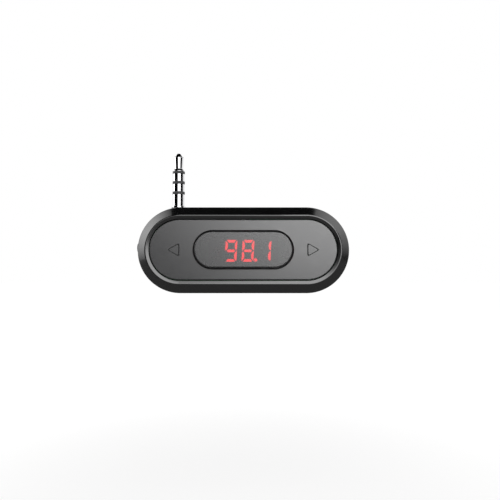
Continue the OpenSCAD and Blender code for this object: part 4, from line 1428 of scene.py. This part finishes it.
@dataclass
class Digits:
    """The lit and unlit segments, leaning a little and swollen along their inner sides.

    What shapes the upright segments is given in strokes: how far their ends stand from the
    digit's, how their outer corners are cut, and their width at the ends and the swelling.
    """

    finishes: Finishes
    width: float = 3.25 * MM
    height: float = 6.0 * MM
    stroke: float = 0.72 * MM
    gap: float = 0.1 * MM
    lean: float = math.radians(3.4)
    dot_r: float = 0.47 * MM
    pitch: float = 4.675 * MM
    last_x: float = 5.95 * MM
    drop: float = 0.27 * MM
    depth: float = 0.5 * MM
    rise: float = 0.02 * MM
    end_low: float = 0.25
    end_high: float = 0.55
    corner_w: float = 0.12
    corner_low: float = 0.15
    corner_high: Point = (0.3, 0.2)
    end_w: float = 0.45
    swell: float = 0.52
    swell_power: float = 0.7
    dot_gap: float = 1.3

    def outline(self, name: str) -> list[Point]:
        """Outline of one segment of a digit centred on zero.

        Args:
            name: the segment's letter, a to g.

        Returns:
            Its points, as across and up.
        """
        w, h, t, g = self.width / 2, self.height / 2, self.stroke, self.gap
        if name in "ad":
            long, short = w - g - t / 3, w - t - g
            points = [(-long, h), (long, h), (short, h - t), (-short, h - t)]
            return points if name == "a" else [(x, -y) for x, y in points]
        if name == "g":
            return [
                (g + t / 2 - w, 0), (g + t - w, t / 2), (w - t - g, t / 2),
                (w - g - t / 2, 0), (w - t - g, -t / 2), (g + t - w, -t / 2),
            ]
        cut, (side, top) = w - t * self.corner_w, self.corner_high
        points = [(cut, g), (w, g + t * self.corner_low)]
        points += [(w, h - g - t * side), (cut, h - g - t * top)]
        start, end = h - g - t * self.end_high, g + t * self.end_low
        for k in range(FINE_STEPS + 1):
            wave = math.sin(math.pi * k / FINE_STEPS) ** self.swell_power
            inner = w - t * (self.end_w + self.swell * wave)
            points.append((inner, start + (end - start) * k / FINE_STEPS))
        sign_x = 1 if name in "bc" else -1
        sign_y = 1 if name in "bf" else -1
        return [(sign_x * x, sign_y * y) for x, y in points]

    def raise_up(self, x: float, outline: Sequence[Point], top: float) -> Bench:
        """Presses a leaned outline into a solid segment that starts below the display's face.

        Args:
            x: the digit's middle.
            outline: the segment's outline, upright and round zero.
            top: the display's face.

        Returns:
            The segment.
        """
        slope, back = math.tan(self.lean), top - self.depth
        points = [Vector((x + right + up * slope, up - self.drop, back)) for right, up in outline]
        return Bench.pressed(points, FORWARD * (self.depth + self.rise))

    def dot(self, x: float, top: float) -> Bench:
        """A round decimal point at the foot of a digit.

        Args:
            x: the digit's middle.
            top: the display's face.

        Returns:
            The point.
        """
        foot = self.dot_r - self.height / 2
        side = x + self.width / 2 + foot * math.tan(self.lean)
        across = side + self.dot_r + self.dot_gap * self.gap
        centre = Vector((across, foot - self.drop, top - self.depth))
        return Bench.rod(centre, FORWARD, self.dot_r, self.depth + self.rise)

    def build(self) -> list[bpy.types.Object]:
        """Builds the lit segments and the dark ones.

        Returns:
            The finished pieces.
        """
        top = -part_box("segments_lit")[0].y
        cells = [self.last_x - self.pitch * k for k in (3, 2, 1, 0)]
        lit_names, dark_names = ("", "abcdfg", "abcdefg", "bc"), ("bc", "e", "", "adefg")
        made = []
        for names, dots, label, slot, finish in (
            (lit_names, (2,), "segments_lit", "led_lit", self.finishes.lit),
            (dark_names, (1,), "segments_dark", "led_dark", self.finishes.unlit),
        ):
            solids = [
                self.raise_up(x, self.outline(letter), top)
                for x, letters in zip(cells, names) for letter in letters
            ]
            solids += [self.dot(cells[i], top) for i in dots]
            group = solids[0].gather(solids[1:])
            name = label.replace("segments", "glow")
            made.append(seat(group.stand(), name, Body.CASE, slot, finish, label))
        return made


@dataclass
class Plug:
    """The folding plug: moulded swivel, metal foot ring, four poles and the bands between them.

    The foot ring is the plug's shoulder. Where the tip's dome starts and ends, its radius is
    given as a share of the tip's.
    """

    finishes: Finishes
    radius: float = 1.75 * MM
    neck_r: float = 1.29 * MM
    tip_r: float = 1.47 * MM
    tip_dome: float = 1.1 * MM
    tip_rim: float = 0.17 * MM
    crown_r: float = 0.62
    crown_rise: float = 0.28 * MM
    end_r: float = 0.3
    neck_rise: float = 0.75 * MM
    ring_len: float = 2.31 * MM
    band_len: float = 0.64 * MM
    band_drop: float = 0.14 * MM
    stem_t: float = 0.17 * MM
    stem_gap: float = 0.03 * MM
    swivel_r: float = 2.0 * MM
    shoulder_h: float = 0.62 * MM
    shoulder_drop: float = 0.32 * MM
    flat_depth: float = 0.2 * MM
    pin_r: float = 0.63 * MM
    tubes: int = 5
    edge: float = 0.05 * MM

    def __post_init__(self) -> None:
        """Takes the plug's place from the frame; heights count from the pivot."""
        low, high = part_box("plug_swivel")
        up = low.z + self.swivel_r - self.flat_depth
        self.pivot = Vector(((low.x + high.x) / 2, up, -(low.y + high.y) / 2))
        self.barrel_half = (high.y - low.y) / 2
        self.shoulder = high.z - self.pivot.y - self.shoulder_drop
        tip_low, tip_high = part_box("plug_tip")
        self.tip = tip_high.z - self.pivot.y
        self.base = tip_low.z - self.pivot.y
        self.sleeve_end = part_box("plug_sleeve")[1].z - self.pivot.y - self.band_drop
        self.inner = self.radius - 2 * self.stem_t
        self.core = self.inner - self.stem_gap - self.tubes * (self.stem_t + self.stem_gap)

    def stem(self, n: int) -> float:
        """Outer radius of the nth nested tube, counted from the tip's stem."""
        return self.core + n * (self.stem_t + self.stem_gap)

    def lathe(self, profile: Sequence[Point], closed: bool) -> Bench:
        """Turns a profile round the plug's axis."""
        return Bench.turned(self.pivot, UP, profile, closed)

    def pole(self, n: int, start: float, end: float, ease: float) -> Bench:
        """A ring of full radius on the nth tube, with its outer edges eased.

        Args:
            n: the tube, counted from the tip's stem.
            start: the ring's foot.
            end: the ring's top.
            ease: how far its edges are cut.

        Returns:
            The tube with its ring.
        """
        out, bore, r = self.stem(n), self.stem(n) - self.stem_t, self.radius
        profile = [
            (bore, self.base), (out, self.base), (out, start), (r - ease, start),
            (r, start + ease), (r, end - ease), (r - ease, end), (bore, end),
        ]
        return self.lathe(profile, True)

    def tip_profile(self) -> list[Point]:
        """The tip: a cone into a narrow neck, a swelling body and a domed end.

        Returns:
            Its points, as radius and height.
        """
        foot = self.sleeve_end + 3 * self.band_len + 2 * self.ring_len
        neck = foot + self.neck_rise
        wide = self.tip - self.tip_dome
        ease, r, swell = self.edge, self.radius, self.tip_r
        stem, crown, end = self.stem(0), swell * self.crown_r, swell * self.end_r
        return rounded([
            (0, self.base, 0), (stem, self.base, 0), (stem, foot, 0), (r, foot, ease),
            (r, foot + self.tip_rim, ease), (self.neck_r - ease, neck, 3 * ease),
            (swell, wide, 5 * ease), (crown, wide + self.crown_rise, 3 * ease),
            (end, self.tip, 7 * ease), (0, self.tip, 0),
        ])

    def swivel(self) -> bpy.types.Object:
        """Builds the moulded knuckle on its hinge pin, with the collar that holds the plug.

        Returns:
            The finished piece.
        """
        length = 2 * self.barrel_half
        back = self.pivot - FORWARD * self.barrel_half
        ease, r, flat = 3 * self.edge, self.swivel_r, self.flat_depth
        knuckle = Bench.turned(
            back, FORWARD,
            [(0, 0), (r - ease, 0), (r, ease), (r, length - ease), (r - ease, length), (0, length)],
        )
        top = self.shoulder - self.shoulder_h
        knuckle.combine(self.lathe([(0, 0), (r, 0), (r, top), (0, top)], False), Cut.ADD)
        pin = Bench.rod(back - FORWARD * MM, FORWARD, self.pin_r, length + 2 * MM)
        knuckle.combine(pin, Cut.REMOVE)
        bore, end = self.inner + self.stem_t, self.shoulder + MM
        hole = self.lathe([(0, self.base), (bore, self.base), (bore, end), (0, end)], False)
        knuckle.combine(hole, Cut.REMOVE)
        out = r + OVER
        for low, high in (
            (Vector((-out, -out, -out)), Vector((out, flat - r, out))),
            (Vector((r - flat, -out, -out)), Vector((out, r / 2, out))),
        ):
            knuckle.combine(Bench.block(self.pivot + low, self.pivot + high), Cut.REMOVE)
        finish = self.finishes.swivel
        return seat(
            knuckle.stand(), "plug_knuckle", Body.PLUG, "swivel_plastic", finish, "plug_swivel",
        )

    def metal(self, bench: Bench, name: str, *nodes: str) -> bpy.types.Object:
        """Finishes one of the plug's metal pieces.

        Args:
            bench: its workpiece.
            name: its name.
            *nodes: the CAD nodes it stands for.

        Returns:
            The finished piece.
        """
        return seat(bench.stand(), name, Body.PLUG, "plug_metal", self.finishes.plug, *nodes)

    def foot(self) -> list[bpy.types.Object]:
        """Builds the foot ring and the sleeve.

        Returns:
            The finished pieces.
        """
        bore = self.inner + self.stem_t
        low, high, ease = self.shoulder - self.shoulder_h, self.shoulder, 2 * self.edge
        wide, out, end = self.swivel_r, bore - self.stem_gap, self.sleeve_end
        ring = self.lathe(
            [(bore, low), (wide - ease, low), (wide, low + ease), (wide, high - ease),
                (wide - ease, high), (bore, high)],
            True,
        )
        made = [self.metal(ring, "plug_shoulder")]
        sleeve = self.lathe(
            [(self.inner, self.base), (out, self.base), (out, high), (self.radius, high),
                (self.radius, end - ease), (self.radius - ease, end), (self.inner, end)],
            True,
        )
        return [*made, self.metal(sleeve, "plug_pole_sleeve", "plug_sleeve")]

    def build(self) -> list[bpy.types.Object]:
        """Builds the swivel, the foot ring, the poles and the insulating bands.

        Returns:
            The finished pieces.
        """
        made = [self.swivel(), *self.foot()]
        start, ease = self.sleeve_end, 2 * self.edge
        poles = {4: ("plug_pole_rear", "plug_ring_rear"), 2: ("plug_pole_front", "plug_ring_front")}
        bands = []
        for n in range(self.tubes, 0, -1):
            length, eased = (self.ring_len, ease) if n in poles else (self.band_len, ease / 3)
            ring = self.pole(n, start, start + length, eased)
            if n in poles:
                made.append(self.metal(ring, *poles[n]))
            else:
                bands.append(ring)
            start += length
        rings = bands[0].gather(bands[1:]).stand()
        finish = self.finishes.insulator
        slot = "plug_insulator"
        made.append(seat(rings, "plug_bands", Body.PLUG, slot, finish, "plug_insulators"))
        tip = self.lathe(self.tip_profile(), False)
        return [*made, self.metal(tip, "plug_pole_tip", "plug_tip")]


@dataclass
class PowerKnob:
    """The round knob of the power switch, with a raised rim round a dished face.

    The dish is given as shares of its radius and its depth, from the middle out.
    """

    finishes: Finishes
    rim: float = 0.28 * MM
    dish: float = 0.12 * MM
    bowl: tuple[Point, ...] = ((0.0, 0.6), (0.5, 0.75), (1.0, 1.0))
    edge: float = 0.12 * MM

    def build(self) -> bpy.types.Object:
        """Builds the knob.

        Returns:
            The finished piece.
        """
        low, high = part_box("switch_knob")
        centre = Vector((low.x, (low.z + high.z) / 2, -(low.y + high.y) / 2))
        radius = (high.z - low.z) / 2
        length = high.x - low.x
        ease = self.edge
        reach = radius - self.rim
        profile = [
            *((reach * out, self.dish * deep) for out, deep in self.bowl),
            (reach + ease / 2, ease / 3), (reach + ease, 0), (radius - ease, 0),
            (radius - ease / 3, ease / 3), (radius, ease), (radius, length), (0, length),
        ]
        knob = Bench.turned(centre, RIGHT, profile)
        finish = self.finishes.knob
        return seat(knob.stand(), "power_knob", Body.SWITCH, "knob", finish, "switch_knob")


@dataclass
class ChargingSocket:
    """The charging socket's folded metal shell with its flared mouth."""

    finishes: Finishes
    wall: float = 0.3 * MM
    flare: float = 0.12 * MM
    flare_steps: int = 3

    def build(self) -> bpy.types.Object:
        """Builds the metal shell.

        Returns:
            The finished piece.
        """
        low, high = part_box("usb_shell")
        length = high.x - low.x
        shell = socket_cutter(0, low.x, high.x)
        cavity = Bench.pressed(socket_outline(-self.wall, low.x + self.wall), RIGHT * length)
        shell.combine(cavity, Cut.REMOVE)

        def at_mouth(co: Vector) -> bool:
            """Whether a vertex stands in the mouth's plane."""
            return abs(co.x - high.x) < NEAR

        shell.bevel(at_mouth, self.flare, self.flare_steps)
        finish = self.finishes.socket
        return seat(shell.stand(), "socket_can", Body.CASE, "socket_metal", finish, "usb_shell")


class Inside:
    """The inner pieces that keep their CAD shape and take a finish of their own."""

    def __init__(self, finishes: Finishes) -> None:
        """Pairs each CAD node with its finish.

        Args:
            finishes: the shared finishes.
        """
        f = finishes
        self.finish_of: dict[str, bpy.types.Material] = {
            "window_guide": f.inner, "window_domes": f.steel, "rocker_domes": f.steel,
            "display_module": f.inner, "display_pins": f.tinned, "main_board": f.board,
            "board_screws": f.steel, "battery_cell": f.foil, "battery_tape": f.foam,
            "battery_leads": f.red_wire, "antenna_wire": f.black_wire, "crystal": f.tinned,
            "usb_tongue": f.inner, "usb_contacts": f.gold, "switch_body": f.tinned,
            "switch_lever": f.inner, "switch_terminals": f.tinned, "hinge_pin": f.steel,
            "detent_spring": f.steel, "plug_leads": f.green_wire,
        }
        resin, glaze, ceramic = (0.03, 0.03, 0.032), (0.02, 0.02, 0.022), (0.42, 0.3, 0.2)
        for node, body, share in (
            ("fm_chip", resin, 0.8), ("control_chip", resin, 0.78), ("charge_chip", resin, 0.6),
            ("resistors", glaze, 0.5), ("capacitors", ceramic, 0.55),
        ):
            self.finish_of[node] = self.banded(node, body, share)
        self.finish_of["coil"] = self.coil()

    @staticmethod
    def banded(node: str, body: Colour, share: float) -> bpy.types.Material:
        """A part whose upper and lower ends are tinned metal.

        Args:
            node: the CAD node.
            body: the colour of its body.
            share: how much of its half height is body.

        Returns:
            The material.
        """
        low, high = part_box(node)
        middle = (low.z + high.z) / 2
        edge = (high.z - low.z) / 2 * share
        return Banded(node, body, TIN, "Z", middle, edge).build()

    @staticmethod
    def coil() -> bpy.types.Material:
        """The choke: copper turns between two dark flanges.

        Returns:
            The material.
        """
        low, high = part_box("coil")
        middle, edge = (low.y + high.y) / 2, (high.y - low.y) / 4
        dark, copper, turn = (0.05, 0.045, 0.045), (0.75, 0.36, 0.18), 0.12 * MM
        return Banded("coil", dark, copper, "Y", middle, edge, outside=False, turns=turn).build()

    def dress(self, nodes: dict[str, bpy.types.Object]) -> None:
        """Gives each CAD node its finish.

        Args:
            nodes: the CAD nodes by name.
        """
        for name, material in self.finish_of.items():
            data = nodes[name].data
            data.materials.clear()
            data.materials.append(material)
            LOG.info("%s: keeps its CAD shape, finish %s", name, material.name)


@dataclass(frozen=True)
class Panel:
    """A flat rectangle in the studio that faces the transmitter and that the camera doesn't see.

    Azimuth counts to the right of the front and elevation above the horizon, both in degrees,
    and the distance is from the point that the rectangle faces.
    """

    name: str
    azimuth: float
    elevation: float
    distance: float
    size: Point

    def hang(self, centre: Vector, material: bpy.types.Material) -> bpy.types.Object:
        """Makes, places and turns the panel.

        Args:
            centre: the point it faces.
            material: its front.

        Returns:
            The panel.
        """
        clear_selection()
        bpy.ops.mesh.primitive_plane_add(size=1)
        panel: bpy.types.Object = bpy.context.object
        panel.name = self.name
        panel.scale = (*self.size, 1)
        out = direction(self.azimuth, self.elevation)
        panel.location = centre + out * self.distance
        panel.rotation_mode = "QUATERNION"
        panel.rotation_quaternion = (-out).to_track_quat("Z", "Y")
        panel.data.materials.append(material)
        panel.visible_camera = False
        panel.visible_shadow = False
        return panel


@dataclass(frozen=True)
class Softbox(Panel):
    """A lamp with a white front that fades towards its edges.

    Dim is the share of its light that is left at its lower left, slope tells from where to
    where the light rises, and tilt how much sooner it does so higher up.
    """

    radiance: float = 1.0
    fade: Point = (0.2, 0.2)
    dim: float = 1.0
    slope: Point = (0.5, -0.5)
    tilt: float = 0.0

    def build(self, centre: Vector) -> None:
        """Hangs the lamp.

        Args:
            centre: the point it faces.
        """
        graph = Graph(self.name)
        across = abs(graph.axis("X")).ramp(0.5, 0.5 - self.fade[0])
        up = abs(graph.axis("Y")).ramp(0.5, 0.5 - self.fade[1])
        along = graph.axis("X") - graph.axis("Y") * self.tilt
        share = self.dim + (1 - self.dim) * along.ramp(*self.slope)
        glow = graph.blend(across * up * share, BLACK, WHITE)
        front = graph.finish(
            Base_Color=BLACK, Roughness=1.0, Specular_IOR_Level=0.0,
            Emission_Color=glow, Emission_Strength=self.radiance,
        )
        self.hang(centre, front)


@dataclass(frozen=True)
class Flag(Panel):
    """A black card that darkens what the gloss reflects."""

    def build(self, centre: Vector, black: bpy.types.Material) -> None:
        """Hangs the card."""
        self.hang(centre, black).visible_diffuse = False


def direction(azimuth: float, elevation: float) -> Vector:
    """A unit vector out from the transmitter.

    Args:
        azimuth: degrees to the right of the front.
        elevation: degrees above the horizon.

    Returns:
        The vector.
    """
    a, e = math.radians(azimuth), math.radians(elevation)
    return Vector((math.sin(a) * math.cos(e), -math.cos(a) * math.cos(e), math.sin(e)))


@dataclass
class Studio:
    """A plain white studio with soft lamps, and the camera at the photograph's angle."""

    centre: Vector = field(default_factory=lambda: Vector((0, -6 * MM, 0)))
    plug_low: Vector = field(default_factory=lambda: Vector((-18.65 * MM, -5.5 * MM, 23.3 * MM)))
    plug_high: Vector = field(default_factory=lambda: Vector((-18.65 * MM, -5.5 * MM, 30 * MM)))
    aim: Vector = field(default_factory=lambda: Vector((1.832 * MM, -6 * MM, 0.152 * MM)))
    camera_distance: float = 142.5 * MM
    camera_elevation: float = -2.3
    camera_near: float = 10 * MM
    camera_far: float = 10.0
    lens: float = 36.0
    floor_drop: float = 90 * MM
    floor_size: float = 6.0
    floor_colour: Colour = (0.23, 0.23, 0.23)
    floor_white: float = 0.75
    floor_fade: Point = (0.05, 0.3)
    ambient: float = 0.12

    def build(self) -> None:
        """Sets the camera, world and floor, and hangs the lamps and black cards."""
        self.camera()
        self.world()
        self.floor()
        for lamp, centre in self.lamps():
            lamp.build(centre)
        graph = Graph("flag_black")
        card = graph.finish(Base_Color=BLACK, Roughness=1.0, Specular_IOR_Level=0.0)
        for flag, centre in self.flags():
            flag.build(centre, card)
        bpy.context.scene.view_settings.view_transform = "Standard"

    def camera(self) -> None:
        """Places the camera straight in front and slightly below."""
        data = bpy.data.cameras.new("camera")
        data.lens = self.lens
        data.clip_start, data.clip_end = self.camera_near, self.camera_far
        camera = bpy.data.objects.new("camera", data)
        bpy.context.scene.collection.objects.link(camera)
        out = direction(0, self.camera_elevation)
        camera.location = self.aim + out * self.camera_distance
        camera.rotation_mode = "QUATERNION"
        camera.rotation_quaternion = (-out).to_track_quat("-Z", "Y")
        bpy.context.scene.camera = camera

    def world(self) -> None:
        """White to the camera and in reflections, a dimmer grey as light."""
        world = bpy.data.worlds.new("studio")
        world.use_nodes = True
        tree = world.node_tree
        background = tree.nodes["Background"]
        path = tree.nodes.new("ShaderNodeLightPath")
        seen = path.outputs["Is Camera Ray"]
        for name in ("Is Glossy Ray", "Is Transmission Ray"):
            either = tree.nodes.new("ShaderNodeMath")
            either.operation = "MAXIMUM"
            tree.links.new(seen, either.inputs[0])
            tree.links.new(path.outputs[name], either.inputs[1])
            seen = either.outputs[0]
        strength = tree.nodes.new("ShaderNodeMapRange")
        strength.inputs["To Min"].default_value = self.ambient
        strength.inputs["To Max"].default_value = 1.0
        tree.links.new(seen, strength.inputs["Value"])
        tree.links.new(strength.outputs["Result"], background.inputs["Strength"])
        background.inputs["Color"].default_value = (1, 1, 1, 1)
        bpy.context.scene.world = world

    def floor(self) -> None:
        """A pale floor well below, which keeps the transmitter's soft shadow."""
        clear_selection()
        bpy.ops.mesh.primitive_plane_add(size=self.floor_size)
        floor = bpy.context.object
        floor.name = "floor"
        floor.location = (0, 0, -self.floor_drop)
        graph = Graph("floor_white")
        ray = graph.node("ShaderNodeLightPath", output="Is Camera Ray")
        inputs = {0: graph.place()}
        away = graph.node("ShaderNodeVectorMath", {"operation": "LENGTH"}, inputs, "Value")
        reach = away.ramp(*self.floor_fade)
        white = ray * (self.floor_white + reach * (1 - self.floor_white))
        material = graph.finish(
            Base_Color=self.floor_colour, Roughness=0.9, Specular_IOR_Level=0.0,
            Emission_Color=graph.blend(white, BLACK, WHITE), Emission_Strength=1.0,
        )
        floor.data.materials.append(material)

    def lamps(self) -> list[tuple[Softbox, Vector]]:
        """The lamps: a wide key above, a soft strip at each side, and a white card by the plug.

        Returns:
            Each lamp and the point it faces.
        """
        key = Softbox(
            "key", 6, 26, 0.5, (1.2, 0.75), radiance=3.8, fade=(0.12, 0.26),
            dim=0.05, slope=(0.264, 0.04), tilt=0.3,
        )
        soft = (0.25, 0.5)
        left = Softbox("left_strip", -92, 27, 0.4, (0.24, 0.92), radiance=3.05, fade=soft)
        right = Softbox("right_strip", 92, 40, 0.4, (0.24, 1.05), radiance=1.4, fade=soft)
        card = Softbox("plug_card", 9, 0, 0.04, (0.052, 0.026), radiance=1.6, fade=CRISP)
        return [*((lamp, self.centre) for lamp in (key, left, right)), (card, self.plug_high)]

    def flags(self) -> list[tuple[Flag, Vector]]:
        """The black cards: one overhead, one at each side, and four round the plug.

        Returns:
            Each card and the point it faces.
        """
        return [
            (Flag("flag_top", 0, 90, 0.3, (0.23, 0.34)), self.centre),
            (Flag("flag_left", -54, -1, 0.45, (0.42, 0.2)), self.centre),
            (Flag("flag_right", 63, 5, 0.45, (0.32, 0.07)), self.centre),
            (Flag("plug_flag_left", -40, 0, 0.015, (0.0185, 0.0204)), self.plug_low),
            (Flag("plug_flag_right", 65.8, 9.5, 0.2, (0.19, 0.042)), self.plug_low),
            (Flag("plug_flag_top", 0, 43, 0.029, (0.07, 0.028)), self.plug_high),
            (Flag("tip_flag_top", 0, 90, 0.002, (0.019, 0.019)), self.plug_high),
        ]


def main(frame: dict[str, object]) -> None:
    """Builds the studio and every piece, in order.
    """
    Studio().build()
    finishes = Finishes()
    slide = next(joint for joint in frame["joints"] if joint["name"] == "switch_slide")
    case = Case(finishes, slide["range_m"][1])
    case.rear()
    case.front()
    RockerPlate(finishes).build()
    DisplayWindow(finishes).build()
    Digits(finishes).build()
    Plug(finishes).build()
    PowerKnob(finishes).build()
    ChargingSocket(finishes).build()
    Inside(finishes).dress(frame["nodes"])


if __name__ == "__main__":
    logging.basicConfig(level=logging.INFO, format="%(name)s: %(message)s")
    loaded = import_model()
    main(loaded)
